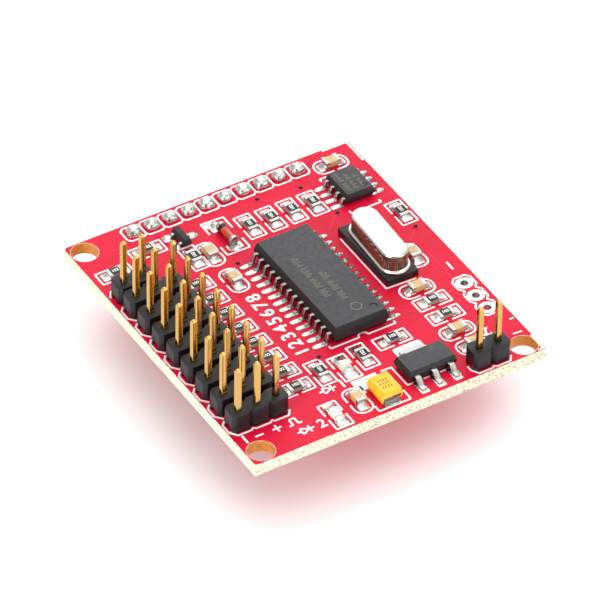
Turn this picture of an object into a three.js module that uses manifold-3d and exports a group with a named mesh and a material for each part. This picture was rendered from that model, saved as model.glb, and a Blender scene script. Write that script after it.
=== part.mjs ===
// Eight-channel servo driver board: a two-sided circuit board with its chips, passives and pin headers.
// Millimetres, +Z up. The origin is the centre of the board's underside, +X runs along the front edge
// towards the logic supply header, and +Y runs from the front edge to the back edge.

import * as THREE from 'three';
import { mergeVertices } from 'three/addons/utils/BufferGeometryUtils.js';
import Module from 'manifold-3d';

const wasm = await Module();
wasm.setup();

// Driving dimensions of the bare board.
const boardWidth = 39.8;
const boardDepth = 44.4;
const boardThickness = 1.6;
const mountHoleDiameter = 3.4;
const mountHoleInset = 1.95;
const bareHoleDiameter = 1.0;
const bareHoleCount = 3;

// Driving dimensions of the pin headers.
const pinPitch = 2.54;
const pinSide = 0.64;
const pinTipTaper = 0.35;
const pinTipSide = 0.34;
const pinMatingLength = 6.05;
const pinTailLength = 3.0;
const lowerPinTailLength = 2.5;
const housingHeight = 2.54;
const housingWidth = 2.5;
const housingNotch = 0.42;
const busWidth = 1.6;
const busThickness = 0.3;

// Where the headers stand: first pin centres, counted from the board's edges.
const servoCount = 8;
const servoRowPitch = 3.31;
const servoColumnInset = 1.9;
const servoFirstRowInset = 7.05;
const supplyRowGap = 2.88;
const lowerPinCount = 10;
const lowerHeaderInset = 1.84;
const lowerHeaderOffset = 0.23;
const logicHeaderInset = 1.95;
const logicHeaderSideInset = 6.95;
const bareHoleSideInset = 2.0;
const bareHoleInset = 9.71;

// Named clearances: pin to plastic, pin corner to plated hole, moulding to leadframe,
// a piece to the surface that it stands on, and the solder pad under a surface-mounted piece.
const pinClearance = 0.05;
const holeClearance = 0.06;
const mouldClearance = 0.04;
const seatClearance = 0.02;
const padHeight = 0.05;

// Facets of a small plated hole, a mounting hole and a half-round end.
const platedHoleSides = 12;
const mountHoleSides = 28;
const roundEndSteps = 8;

// The bar inside a moulding that joins its leads, and the depth of the dimple by the first lead.
const barDepth = 0.45;
const barBite = 0.85;
const dimpleDepth = 0.12;

// Surface-mounted packages. Width is along the leads' reach and length is across them.
const controllerPackage = {
  leadsPerSide: 14,
  leadPitch: 1.27,
  leadWidth: 0.42,
  leadThickness: 0.26,
  leadSpan: 10.3,
  leadShoulder: 0.42,
  footLength: 0.75,
  bodyWidth: 7.5,
  bodyEndMargin: 0.7,
  bodyHeight: 2.3,
  bodyDraft: 0.3,
  standoff: 0.15,
  dimpleDiameter: 1.1,
  dimpleInset: 1.35,
};
const memoryPackage = {
  leadsPerSide: 4,
  leadPitch: 1.27,
  leadWidth: 0.42,
  leadThickness: 0.2,
  leadSpan: 6.0,
  leadShoulder: 0.3,
  footLength: 0.5,
  bodyWidth: 3.9,
  bodyEndMargin: 0.34,
  bodyHeight: 1.45,
  bodyDraft: 0.2,
  standoff: 0.12,
  dimpleDiameter: 0.6,
  dimpleInset: 0.85,
};
const regulatorPackage = {
  leadsPerSide: 3,
  leadPitch: 2.3,
  leadWidth: 0.72,
  tabWidth: 3.0,
  leadThickness: 0.28,
  leadSpan: 7.0,
  leadShoulder: 0.4,
  footLength: 0.75,
  bodyWidth: 3.5,
  bodyEndMargin: 0.6,
  bodyHeight: 1.6,
  bodyDraft: 0.25,
  standoff: 0.08,
};
const crystalPackage = {
  baseWidth: 4.4,
  baseLength: 12.0,
  baseHeight: 0.9,
  baseCorner: 0.7,
  flangeWidth: 3.95,
  flangeLength: 11.0,
  flangeHeight: 0.35,
  flangeEdge: 0.08,
  canWidth: 3.5,
  canLength: 10.3,
  canHeight: 2.6,
  canEdge: 0.2,
  canOffset: 0.2,
  turn: -2.5,
};
const tantalumPackage = {
  width: 2.8,
  length: 3.5,
  height: 1.9,
  draft: 0.18,
  standoff: 0.1,
  terminalWidth: 2.2,
  terminalThickness: 0.15,
  terminalFoot: 0.8,
  terminalRise: 1.0,
};
const capacitorChip = { length: 2.0, width: 1.3, height: 0.95, edge: 0.1 };
const ledChip = { length: 2.0, width: 1.3, height: 0.8, edge: 0.1 };
const transistorBody = { length: 2.9, width: 1.35, height: 1.0, draft: 0.1, standoff: 0.1 };
const diodeBody = { length: 3.5, capDiameter: 1.5, capLength: 0.45, glassDiameter: 1.36 };

// Places along the board, counted from its edges.
const fromLeft = (distance) => distance - boardWidth / 2;
const fromRight = (distance) => boardWidth / 2 - distance;
const fromFront = (distance) => distance - boardDepth / 2;
const fromBack = (distance) => boardDepth / 2 - distance;

const controllerPlace = { x: 2.55, y: 0 };
const memoryPlace = { x: fromRight(4.65), y: fromBack(8.2) };
const crystalPlace = { x: fromRight(8.08), y: 2.2 };
const regulatorPlace = { x: fromRight(13.9), y: fromFront(4.6) };
const tantalumPlace = { x: fromRight(20.55), y: fromFront(2.9) };
const transistorPlace = { x: fromLeft(13.0), y: fromBack(5.9) };
const diodePlace = { x: fromLeft(17.85), y: fromBack(8.35) };
const ledPlaces = [
  { name: 'status_led', x: fromLeft(17.7), y: fromFront(9.2) },
  { name: 'power_led', x: fromLeft(12.5), y: fromFront(2.75) },
];
const capacitorPlaces = [
  { name: 'memory_capacitor', x: fromRight(4.15), y: fromBack(3.0), alongX: true },
  { name: 'reset_capacitor', x: fromLeft(14.55), y: fromBack(9.9), alongX: false },
  { name: 'controller_capacitor', x: fromLeft(14.6), y: fromFront(29.0), alongX: false },
  { name: 'crystal_capacitor_right', x: fromRight(4.6), y: fromFront(22.1), alongX: false },
  { name: 'crystal_capacitor_front', x: fromRight(7.4), y: fromFront(16.7), alongX: true },
  { name: 'filter_capacitor', x: fromRight(7.3), y: fromFront(8.0), alongX: true },
  { name: 'input_capacitor', x: fromRight(6.95), y: fromFront(4.95), alongX: true },
  { name: 'output_capacitor', x: fromLeft(16.0), y: fromFront(3.55), alongX: false },
];

const boardTop = boardThickness;
const padTop = boardTop + padHeight;
const platedHoleDiameter = pinSide * Math.SQRT2 + 2 * holeClearance;
const servoRows = Array.from(
  { length: servoCount },
  (_, row) => fromFront(servoFirstRowInset) + row * servoRowPitch,
);
const supplyRow = servoRows[servoCount - 1] + supplyRowGap;
const servoColumns = [0, 1, 2].map((column) => fromLeft(servoColumnInset) + column * pinPitch);
const [groundColumn, powerColumn, signalColumn] = servoColumns;

const board = new THREE.Group();

// Materials, one new instance for each mesh.

const material = (color, roughness, metalness) => () =>
  new THREE.MeshStandardMaterial({ color, roughness, metalness });
const redSolderMask = material(0xd8202e, 0.35, 0.0);
const blackNylon = material(0x2b292c, 0.55, 0.0);
const goldPlate = material(0xc9a24a, 0.25, 1.0);
const tinPlate = material(0xc8c8cc, 0.3, 1.0);
const mouldCompound = material(0x3c3b3f, 0.7, 0.0);
const nickelSilver = material(0xd8d4cc, 0.15, 1.0);
const yellowEpoxy = material(0xf2b21c, 0.45, 0.0);
const clearEpoxy = material(0xf0efe6, 0.3, 0.0);
const tanCeramic = material(0xc4a878, 0.5, 0.0);
const redGlass = material(0xc8501e, 0.1, 0.0);

// Mesh and solid helpers.

function addPart(name, geometry, makeMaterial, x = 0, y = 0, z = 0) {
  const mesh = new THREE.Mesh(geometry, makeMaterial());
  mesh.name = name;
  mesh.position.set(x, y, z);
  board.add(mesh);
}

function toSolid(geometry) {
  const bare = geometry.clone();
  bare.deleteAttribute('normal');
  bare.deleteAttribute('uv');
  const merged = mergeVertices(bare);
  const vertProperties = new Float32Array(merged.attributes.position.array);
  const triVerts = new Uint32Array(merged.index.array);
  return new wasm.Manifold(new wasm.Mesh({ numProp: 3, vertProperties, triVerts }));
}

function toGeometry(solid) {
  const mesh = solid.getMesh();
  const geometry = new THREE.BufferGeometry();
  geometry.setAttribute('position', new THREE.BufferAttribute(new Float32Array(mesh.vertProperties), 3));
  geometry.setIndex(new THREE.BufferAttribute(new Uint32Array(mesh.triVerts), 1));
  geometry.computeVertexNormals();
  return geometry;
}

// Drills, centred on the origin and longer than the piece that they go through.

function roundDrill(diameter, depth, sides) {
  const cylinder = new THREE.CylinderGeometry(diameter / 2, diameter / 2, 3 * depth, sides);
  cylinder.rotateX(Math.PI / 2);
  return toSolid(cylinder);
}

const squareDrill = (side, depth) => toSolid(new THREE.BoxGeometry(side, side, 3 * depth));

const drill = (solid, drillBit, places) =>
  places.reduce((left, [x, y]) => left.subtract(drillBit.translate([x, y, 0])), solid);

// Outlines.

function rectangle(width, length) {
  const shape = new THREE.Shape();
  shape.moveTo(-width / 2, -length / 2);
  shape.lineTo(width / 2, -length / 2);
  shape.lineTo(width / 2, length / 2);
  shape.lineTo(-width / 2, length / 2);
  shape.closePath();
  return shape;
}

function chamferedRectangle(width, length, corner) {
  const shape = new THREE.Shape();
  shape.moveTo(-width / 2 + corner, -length / 2);
  shape.lineTo(width / 2 - corner, -length / 2);
  shape.lineTo(width / 2, -length / 2 + corner);
  shape.lineTo(width / 2, length / 2 - corner);
  shape.lineTo(width / 2 - corner, length / 2);
  shape.lineTo(-width / 2 + corner, length / 2);
  shape.lineTo(-width / 2, length / 2 - corner);
  shape.lineTo(-width / 2, -length / 2 + corner);
  shape.closePath();
  return shape;
}

function stadium(width, length) {
  const radius = width / 2;
  const straight = length / 2 - radius;
  const shape = new THREE.Shape();
  shape.moveTo(radius, -straight);
  shape.lineTo(radius, straight);
  shape.absarc(0, straight, radius, 0, Math.PI, false);
  shape.lineTo(-radius, -straight);
  shape.absarc(0, -straight, radius, Math.PI, 2 * Math.PI, false);
  return shape;
}

const extrude = (shape, depth) => new THREE.ExtrudeGeometry(shape, { depth, bevelEnabled: false });

// A block whose four sides slope in by the draft above and below a straight band at mid height.
function draftedBlock(shape, height, draft, band) {
  const slope = (height - band) / 2;
  const geometry = new THREE.ExtrudeGeometry(shape, {
    depth: band,
    bevelEnabled: true,
    bevelThickness: slope,
    bevelSize: draft,
    bevelOffset: -draft,
    bevelSegments: 1,
    curveSegments: roundEndSteps,
  });
  geometry.translate(0, 0, slope);
  return geometry;
}

// Circuit board: every header pin and every bare plated hole goes right through.

function headerPinPlaces() {
  const places = [];
  for (const y of servoRows) {
    servoColumns.forEach((x) => places.push([x, y]));
  }
  places.push([groundColumn, supplyRow], [powerColumn, supplyRow]);
  lowerPinColumns().forEach((x) => places.push([x, fromBack(lowerHeaderInset)]));
  logicPinColumns().forEach((x) => places.push([x, fromFront(logicHeaderInset)]));
  return places;
}

function lowerPinColumns() {
  const first = lowerHeaderOffset - ((lowerPinCount - 1) * pinPitch) / 2;
  return Array.from({ length: lowerPinCount }, (_, pin) => first + pin * pinPitch);
}

function logicPinColumns() {
  const centre = fromRight(logicHeaderSideInset);
  return [centre - pinPitch / 2, centre + pinPitch / 2];
}

function addCircuitBoard() {
  const mountHoles = [
    [fromLeft(mountHoleInset), fromFront(mountHoleInset)],
    [fromRight(mountHoleInset), fromFront(mountHoleInset)],
    [fromLeft(mountHoleInset), fromBack(mountHoleInset)],
  ];
  const bareHoles = Array.from({ length: bareHoleCount }, (_, hole) => [
    fromRight(bareHoleSideInset),
    fromFront(bareHoleInset) + hole * pinPitch,
  ]);
  let plate = toSolid(extrude(rectangle(boardWidth, boardDepth), boardThickness));
  plate = drill(plate, roundDrill(mountHoleDiameter, boardThickness, mountHoleSides), mountHoles);
  plate = drill(plate, roundDrill(platedHoleDiameter, boardThickness, platedHoleSides), headerPinPlaces());
  plate = drill(plate, roundDrill(bareHoleDiameter, boardThickness, platedHoleSides), bareHoles);
  addPart('circuit_board', toGeometry(plate), redSolderMask);
}

// Pin headers: a notched strip of plastic cells with one square pin through each.

function housingOutline(cells) {
  const halfWidth = housingWidth / 2;
  const halfLength = (cells * pinPitch - (pinPitch - housingWidth)) / 2;
  const front = [];
  const back = [];
  for (let cell = 0; cell < cells; cell += 1) {
    const left = cell === 0 ? -halfLength : (cell - cells / 2) * pinPitch;
    const right = cell === cells - 1 ? halfLength : (cell + 1 - cells / 2) * pinPitch;
    front.push([left, -halfWidth + housingNotch], [left + housingNotch, -halfWidth]);
    front.push([right - housingNotch, -halfWidth]);
    back.push([left + housingNotch, halfWidth], [right - housingNotch, halfWidth]);
    back.push([right, halfWidth - housingNotch]);
  }
  front.push([halfLength, -halfWidth + housingNotch]);
  back.unshift([-halfLength, halfWidth - housingNotch]);
  return new THREE.Shape(front.concat(back.reverse()).map(([x, y]) => new THREE.Vector2(x, y)));
}

function headerHousing(cells) {
  const pinPlaces = Array.from({ length: cells }, (_, cell) => [(cell + 0.5 - cells / 2) * pinPitch, 0]);
  const block = toSolid(extrude(housingOutline(cells), housingHeight));
  return toGeometry(drill(block, squareDrill(pinSide + 2 * pinClearance, housingHeight), pinPlaces));
}

function squarePin(bottom, top) {
  const halfDiagonal = pinSide / Math.SQRT2;
  const tip = pinTipSide / Math.SQRT2;
  const profile = [
    [0, bottom],
    [tip, bottom],
    [halfDiagonal, bottom + pinTipTaper],
    [halfDiagonal, top - pinTipTaper],
    [tip, top],
    [0, top],
  ].map(([radius, height]) => new THREE.Vector2(radius, height));
  const geometry = new THREE.LatheGeometry(profile, 4, Math.PI / 4);
  geometry.rotateX(Math.PI / 2);
  return geometry;
}

const upperPinBottom = boardTop - pinTailLength;
const upperPinTop = boardTop + housingHeight + pinMatingLength;
const lowerPinBottom = -(housingHeight + pinMatingLength);
const lowerPinTop = lowerPinTailLength;

const upperPin = () => squarePin(upperPinBottom, upperPinTop);
const lowerPin = () => squarePin(lowerPinBottom, lowerPinTop);

// Pins of one column, joined by the soldered copper strip that they share under the board.
function pinRail() {
  const rows = [...servoRows, supplyRow];
  const length = rows.at(-1) - rows[0] + busWidth;
  const strip = extrude(rectangle(busWidth, length), busThickness);
  strip.translate(0, (rows[0] + rows.at(-1)) / 2, -seatClearance - busThickness);
  let rail = toSolid(strip);
  for (const y of rows) {
    rail = rail.add(toSolid(upperPin()).translate([0, y, 0]));
  }
  return toGeometry(rail);
}

function addServoHeaders() {
  const housingBase = boardTop + seatClearance;
  servoRows.forEach((y, row) => {
    const housing = headerHousing(servoColumns.length);
    addPart(`servo_header_${row + 1}`, housing, blackNylon, powerColumn, y, housingBase);
    addPart(`signal_pin_${row + 1}`, upperPin(), goldPlate, signalColumn, y);
  });
  const supplyCentre = (groundColumn + powerColumn) / 2;
  addPart('supply_header', headerHousing(2), blackNylon, supplyCentre, supplyRow, housingBase);
  addPart('ground_rail', pinRail(), goldPlate, groundColumn);
  addPart('power_rail', pinRail(), goldPlate, powerColumn);
}

function addLogicHeader() {
  const y = fromFront(logicHeaderInset);
  const housingBase = boardTop + seatClearance;
  const housing = headerHousing(2);
  addPart('logic_header', housing, blackNylon, fromRight(logicHeaderSideInset), y, housingBase);
  logicPinColumns().forEach((x, pin) => addPart(`logic_pin_${pin + 1}`, upperPin(), goldPlate, x, y));
}

function addLowerHeader() {
  const y = fromBack(lowerHeaderInset);
  const housing = headerHousing(lowerPinCount);
  addPart('lower_header', housing, blackNylon, lowerHeaderOffset, y, -seatClearance - housingHeight);
  lowerPinColumns().forEach((x, pin) => addPart(`lower_pin_${pin + 1}`, lowerPin(), goldPlate, x, y));
}

// Moulded packages: a drafted body with gull-wing leads that share a bar inside the moulding.

const leadRowLength = (pack) => (pack.leadsPerSide - 1) * pack.leadPitch + pack.leadWidth;
const bodyLength = (pack) => leadRowLength(pack) + 2 * pack.bodyEndMargin;
const leadHeight = (pack) => pack.standoff + pack.bodyHeight / 2;

// One lead in profile, reaching out along +X from inside the body. Growing it gives the pocket for it.
function leadProfile(pack, grow) {
  const half = pack.leadThickness / 2 + grow;
  const inner = pack.bodyWidth / 2 - barBite - grow;
  const bend = pack.bodyWidth / 2 + pack.leadShoulder;
  const toe = pack.leadSpan / 2 + grow;
  const heel = pack.leadSpan / 2 - pack.footLength;
  const height = leadHeight(pack);
  const foot = pack.leadThickness;
  return new THREE.Shape([
    new THREE.Vector2(inner, height - half),
    new THREE.Vector2(bend - foot / 2, height - half),
    new THREE.Vector2(heel - foot / 2, -grow),
    new THREE.Vector2(toe, -grow),
    new THREE.Vector2(toe, foot + grow),
    new THREE.Vector2(heel + foot / 2, foot + grow),
    new THREE.Vector2(bend + foot / 2, height + half),
    new THREE.Vector2(inner, height + half),
  ]);
}

function leadSolid(pack, width, grow) {
  const geometry = extrude(leadProfile(pack, grow), width + 2 * grow);
  geometry.translate(0, 0, -(width / 2 + grow));
  geometry.rotateX(Math.PI / 2);
  return toSolid(geometry);
}

// The leads of one side with their bar; turn 0 reaches along +X and half a turn along -X.
function leadRow(pack, turn, grow) {
  const count = pack.leadsPerSide;
  const length = leadRowLength(pack);
  const bar = new THREE.BoxGeometry(barDepth + 2 * grow, length + 2 * grow, pack.leadThickness + 2 * grow);
  bar.translate(pack.bodyWidth / 2 - barBite + barDepth / 2, 0, leadHeight(pack));
  let row = toSolid(bar);
  for (let lead = 0; lead < count; lead += 1) {
    const y = (lead - (count - 1) / 2) * pack.leadPitch;
    row = row.add(leadSolid(pack, pack.leadWidth, grow).translate([0, y, 0]));
  }
  return row.rotate([0, 0, turn]);
}

function packageBody(pack) {
  const outline = rectangle(pack.bodyWidth, bodyLength(pack));
  const block = draftedBlock(outline, pack.bodyHeight, pack.bodyDraft, pack.leadThickness);
  return toSolid(block).translate([0, 0, pack.standoff]);
}

function dimpledBody(pack) {
  const radius = pack.dimpleDiameter / 2;
  const dimple = new THREE.CylinderGeometry(radius, radius, 2 * dimpleDepth, platedHoleSides);
  dimple.rotateX(Math.PI / 2);
  const x = pack.bodyWidth / 2 - pack.dimpleInset;
  const y = -bodyLength(pack) / 2 + pack.dimpleInset;
  return packageBody(pack).subtract(toSolid(dimple).translate([x, y, pack.standoff + pack.bodyHeight]));
}

function addGullWingChip(name, pack, place) {
  const right = leadRow(pack, 0, 0);
  const left = leadRow(pack, 180, 0);
  const pockets = leadRow(pack, 0, mouldClearance).add(leadRow(pack, 180, mouldClearance));
  const body = dimpledBody(pack).subtract(pockets);
  addPart(`${name}_body`, toGeometry(body), mouldCompound, place.x, place.y, padTop);
  addPart(`${name}_leads_left`, toGeometry(left), tinPlate, place.x, place.y, padTop);
  addPart(`${name}_leads_right`, toGeometry(right), tinPlate, place.x, place.y, padTop);
}

// The regulator's three leads face the front edge and its wide tab faces the back.
function addRegulator(pack, place) {
  const leads = leadRow(pack, -90, 0);
  const tab = leadSolid(pack, pack.tabWidth, 0).rotate([0, 0, 90]);
  const tabPocket = leadSolid(pack, pack.tabWidth, mouldClearance).rotate([0, 0, 90]);
  const pockets = leadRow(pack, -90, mouldClearance).add(tabPocket);
  const body = packageBody(pack).rotate([0, 0, 90]).subtract(pockets);
  addPart('regulator_body', toGeometry(body), mouldCompound, place.x, place.y, padTop);
  addPart('regulator_tab', toGeometry(tab), tinPlate, place.x, place.y, padTop);
  addPart('regulator_leads', toGeometry(leads), tinPlate, place.x, place.y, padTop);
}

// Crystal: a plastic carrier, and a drawn can welded to its flange. It sits a little turned on the board.
function addCrystal(pack, place) {
  const baseOutline = chamferedRectangle(pack.baseWidth, pack.baseLength, pack.baseCorner);
  const base = toSolid(extrude(baseOutline, pack.baseHeight)).rotate([0, 0, pack.turn]);
  const flangeOutline = stadium(pack.flangeWidth, pack.flangeLength);
  const flangeBand = pack.flangeHeight - 2 * pack.flangeEdge;
  const flange = draftedBlock(flangeOutline, pack.flangeHeight, pack.flangeEdge, flangeBand);
  const canOutline = stadium(pack.canWidth, pack.canLength);
  const block = draftedBlock(canOutline, pack.canHeight, pack.canEdge, pack.canHeight - 2 * pack.canEdge);
  const can = toSolid(flange).add(toSolid(block)).translate([pack.canOffset, 0, 0]).rotate([0, 0, pack.turn]);
  const canBase = padTop + pack.baseHeight + seatClearance;
  addPart('crystal_base', toGeometry(base), blackNylon, place.x, place.y, padTop);
  addPart('crystal_can', toGeometry(can), nickelSilver, place.x, place.y, canBase);
}

// Tantalum capacitor: an epoxy block with a terminal bent under each end.

function terminalStrip(pack, grow) {
  const end = pack.length / 2;
  const thick = pack.terminalThickness;
  const shape = new THREE.Shape([
    new THREE.Vector2(end - pack.terminalFoot - grow, -grow),
    new THREE.Vector2(end + grow, -grow),
    new THREE.Vector2(end + grow, pack.terminalRise + grow),
    new THREE.Vector2(end - thick - grow, pack.terminalRise + grow),
    new THREE.Vector2(end - thick - grow, thick + grow),
    new THREE.Vector2(end - pack.terminalFoot - grow, thick + grow),
  ]);
  const strip = extrude(shape, pack.terminalWidth + 2 * grow);
  strip.translate(0, 0, -(pack.terminalWidth / 2 + grow));
  strip.rotateX(Math.PI / 2);
  return toSolid(strip);
}

function addTantalumCapacitor(pack, place) {
  const outline = rectangle(pack.width, pack.length);
  const block = draftedBlock(outline, pack.height - pack.standoff, pack.draft, pack.terminalThickness);
  const front = terminalStrip(pack, 0).rotate([0, 0, -90]);
  const back = terminalStrip(pack, 0).rotate([0, 0, 90]);
  const frontPocket = terminalStrip(pack, mouldClearance).rotate([0, 0, -90]);
  const backPocket = terminalStrip(pack, mouldClearance).rotate([0, 0, 90]);
  const body = toSolid(block).translate([0, 0, pack.standoff]).subtract(frontPocket).subtract(backPocket);
  addPart('tantalum_body', toGeometry(body), yellowEpoxy, place.x, place.y, padTop);
  addPart('tantalum_terminal_front', toGeometry(front), tinPlate, place.x, place.y, padTop);
  addPart('tantalum_terminal_back', toGeometry(back), tinPlate, place.x, place.y, padTop);
}

// Chips without leads of their own.

function chipBlock(chip, alongX) {
  const outline = alongX ? rectangle(chip.length, chip.width) : rectangle(chip.width, chip.length);
  return draftedBlock(outline, chip.height, chip.edge, chip.height - 2 * chip.edge);
}

function addSmallChips() {
  for (const { name, x, y, alongX } of capacitorPlaces) {
    addPart(name, chipBlock(capacitorChip, alongX), tanCeramic, x, y, padTop);
  }
  for (const { name, x, y } of ledPlaces) {
    addPart(name, chipBlock(ledChip, false), clearEpoxy, x, y, padTop);
  }
}

function addTransistor(body, place) {
  const block = draftedBlock(rectangle(body.width, body.length), body.height, body.draft, body.height / 2);
  addPart('transistor_body', block, mouldCompound, place.x, place.y, padTop + body.standoff);
}

// Glass diode lying along Y: a glass tube between two metal end caps.
function addDiode(body, place) {
  const end = body.length / 2;
  const profile = [
    [0, -end],
    [body.capDiameter / 2, -end],
    [body.capDiameter / 2, -end + body.capLength],
    [body.glassDiameter / 2, -end + body.capLength],
    [body.glassDiameter / 2, end - body.capLength],
    [body.capDiameter / 2, end - body.capLength],
    [body.capDiameter / 2, end],
    [0, end],
  ].map(([radius, along]) => new THREE.Vector2(radius, along));
  const geometry = new THREE.LatheGeometry(profile, platedHoleSides);
  addPart('glass_diode', geometry, redGlass, place.x, place.y, padTop + body.capDiameter / 2);
}

addCircuitBoard();
addServoHeaders();
addLogicHeader();
addLowerHeader();
addGullWingChip('controller', controllerPackage, controllerPlace);
addGullWingChip('memory', memoryPackage, memoryPlace);
addRegulator(regulatorPackage, regulatorPlace);
addCrystal(crystalPackage, crystalPlace);
addTantalumCapacitor(tantalumPackage, tantalumPlace);
addSmallChips();
addTransistor(transistorBody, transistorPlace);
addDiode(diodeBody, diodePlace);

export default board;
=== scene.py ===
"""The looks of an eight-channel servo driver board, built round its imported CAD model.

Every length typed here is in millimetres on the board, counted from its left and front edges unless a
comment says otherwise, and is turned to metres in the CAD model's own frame by spot() and MM.
"""

import math

import bmesh
import bpy
from bpy.props import FloatProperty, FloatVectorProperty, IntProperty, PointerProperty
from mathutils import Matrix, Vector


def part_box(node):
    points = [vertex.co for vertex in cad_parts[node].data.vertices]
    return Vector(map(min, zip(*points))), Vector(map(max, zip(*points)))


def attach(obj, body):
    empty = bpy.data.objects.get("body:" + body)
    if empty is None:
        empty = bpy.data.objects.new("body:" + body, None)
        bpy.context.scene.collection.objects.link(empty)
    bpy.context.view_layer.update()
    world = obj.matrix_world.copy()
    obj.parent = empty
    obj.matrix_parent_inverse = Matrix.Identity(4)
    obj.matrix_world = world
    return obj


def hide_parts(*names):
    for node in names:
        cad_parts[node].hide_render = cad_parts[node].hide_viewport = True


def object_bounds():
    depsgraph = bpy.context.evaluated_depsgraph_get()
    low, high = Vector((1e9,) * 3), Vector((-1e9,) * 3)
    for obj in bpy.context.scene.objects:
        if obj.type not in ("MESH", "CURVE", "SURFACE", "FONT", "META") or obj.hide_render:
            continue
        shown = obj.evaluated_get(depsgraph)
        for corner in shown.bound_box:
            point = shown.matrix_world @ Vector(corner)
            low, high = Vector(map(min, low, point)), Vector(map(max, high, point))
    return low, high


bl_info = {
    "name": "Servo Driver Board",
    "version": (1, 0, 0),
    "blender": (4, 5, 0),
    "location": "View3D > Sidebar > Servo Board",
    "description": "Builds the finished looks of a servo driver board round its CAD model",
    "category": "Object",
}

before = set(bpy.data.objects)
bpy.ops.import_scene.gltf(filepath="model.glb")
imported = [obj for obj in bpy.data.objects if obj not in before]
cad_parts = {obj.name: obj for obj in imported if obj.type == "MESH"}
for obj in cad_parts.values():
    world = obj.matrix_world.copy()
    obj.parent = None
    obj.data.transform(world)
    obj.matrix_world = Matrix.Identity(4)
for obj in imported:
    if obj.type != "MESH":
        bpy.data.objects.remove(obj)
MM = 0.001
BODY = "root"

cad_low, cad_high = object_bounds()
board_low, board_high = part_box("circuit_board")
BOARD_TOP = board_high.z
BOARD_WIDTH = (board_high.x - board_low.x) / MM
BOARD_DEPTH = (board_high.y - board_low.y) / MM
SERVO_ROWS = sum(name.startswith("servo_header_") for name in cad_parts)
LOWER_PINS = sum(name.startswith("lower_pin_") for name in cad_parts)
PITCH = 2.54
# Heights in millimetres off the laminate: the foot of a solder joint and the top of a bare pad.
SOLDER_LIFT = 0.02
PAD_HEIGHT = 0.05
# How far below the underside a joint starts where a rail's copper strip lies under it.
STRIP_DROP = 0.28
# Points nearer than this, in metres, are one point.
WELD = 0.0005 * MM


def linear(code):
    """An sRGB hex colour as the three linear values that Blender works in."""
    parts = [int(code[i : i + 2], 16) / 255 for i in (1, 3, 5)]
    return tuple(p / 12.92 if p <= 0.04045 else ((p + 0.055) / 1.055) ** 2.4 for p in parts)


def length(name, description, default):
    """A length property in metres whose default is given in millimetres."""
    return FloatProperty(
        name=name, description=description, default=default * MM, min=0.0, subtype="DISTANCE", unit="LENGTH"
    )


def turning(name, description, default):
    """An angle property whose default is given in degrees."""
    return FloatProperty(name=name, description=description, default=math.radians(default), subtype="ANGLE")


def power(name, description, default):
    """A property for a lamp's power, in watts."""
    return FloatProperty(name=name, description=description, default=default, min=0.0, unit="POWER")


def colour(name, description, code):
    """A colour property whose default is given as sRGB hex."""
    return FloatVectorProperty(
        name=name, description=description, default=linear(code), min=0.0, max=1.0, size=3, subtype="COLOR"
    )


class ServoBoardLegend(bpy.types.PropertyGroup):
    """Sizes of the printed legend and of the copper tracks under the solder mask."""

    line_width: length("Line width", "Width of a printed line", 0.24)
    ink_height: length("Ink height", "Thickness of the printed ink", 0.03)
    numeral_height: length("Numeral height", "Height of a channel numeral", 2.5)
    mask_height: length("Mask height", "Thickness of the solder mask", 0.025)
    mask_inset: length("Mask inset", "How far the mask stops short of the cut edge", 0.12)
    track_width: length("Track width", "Width of a signal track", 0.32)
    track_height: length("Track height", "How far a track lifts the mask", 0.035)


class ServoBoardParts(bpy.types.PropertyGroup):
    """Sizes of the small parts that stand on the board and of their solder."""

    resistor_length: length("Resistor length", "Length of a chip resistor", 2.0)
    resistor_width: length("Resistor width", "Width of a chip resistor", 1.3)
    resistor_height: length("Resistor height", "Height of a chip resistor", 0.55)
    end_length: length("End length", "Length of a chip's metal end", 0.42)
    pad_reach: length("Pad reach", "How far a pad runs past its chip", 0.85)
    joint_width: length("Joint width", "Diameter of a soldered pin joint", 1.92)
    joint_height: length("Joint height", "Height of a soldered pin joint", 1.07)
    unevenness: length("Unevenness", "How far solder strays from its smooth shape", 0.05)
    seed: IntProperty(
        name="Seed", description="Seed of the small differences between copies", default=7, min=0
    )


class ServoBoardColours(bpy.types.PropertyGroup):
    """Colours of the board's materials."""

    mask: colour("Solder mask", "Red solder mask over bare laminate", "#D50733")
    mask_copper: colour("Mask over copper", "Red solder mask over copper", "#DB1440")
    laminate: colour("Laminate", "Cut glass-epoxy edge", "#F3E7CB")
    drilled: colour("Drilled wall", "Wall of a drilled mounting hole", "#D98A2B")
    ink: colour("Legend ink", "Printed legend", "#F7F4F2")
    gold: colour("Gold plate", "Plated header pins", "#CFA662")
    solder: colour("Solder", "Reflowed solder", "#C9C7C2")
    nylon: colour("Header plastic", "Moulded header housings", "#131114")
    moulding: colour("Chip moulding", "Moulded chip bodies", "#37363A")
    tantalum: colour("Capacitor epoxy", "Yellow epoxy of the tantalum capacitor", "#FCBE22")
    ceramic: colour("Capacitor ceramic", "Tan ceramic of the chip capacitors", "#CDB07C")
    glass: colour("Diode glass", "Orange-red glass of the diode", "#C43A0C")


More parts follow.
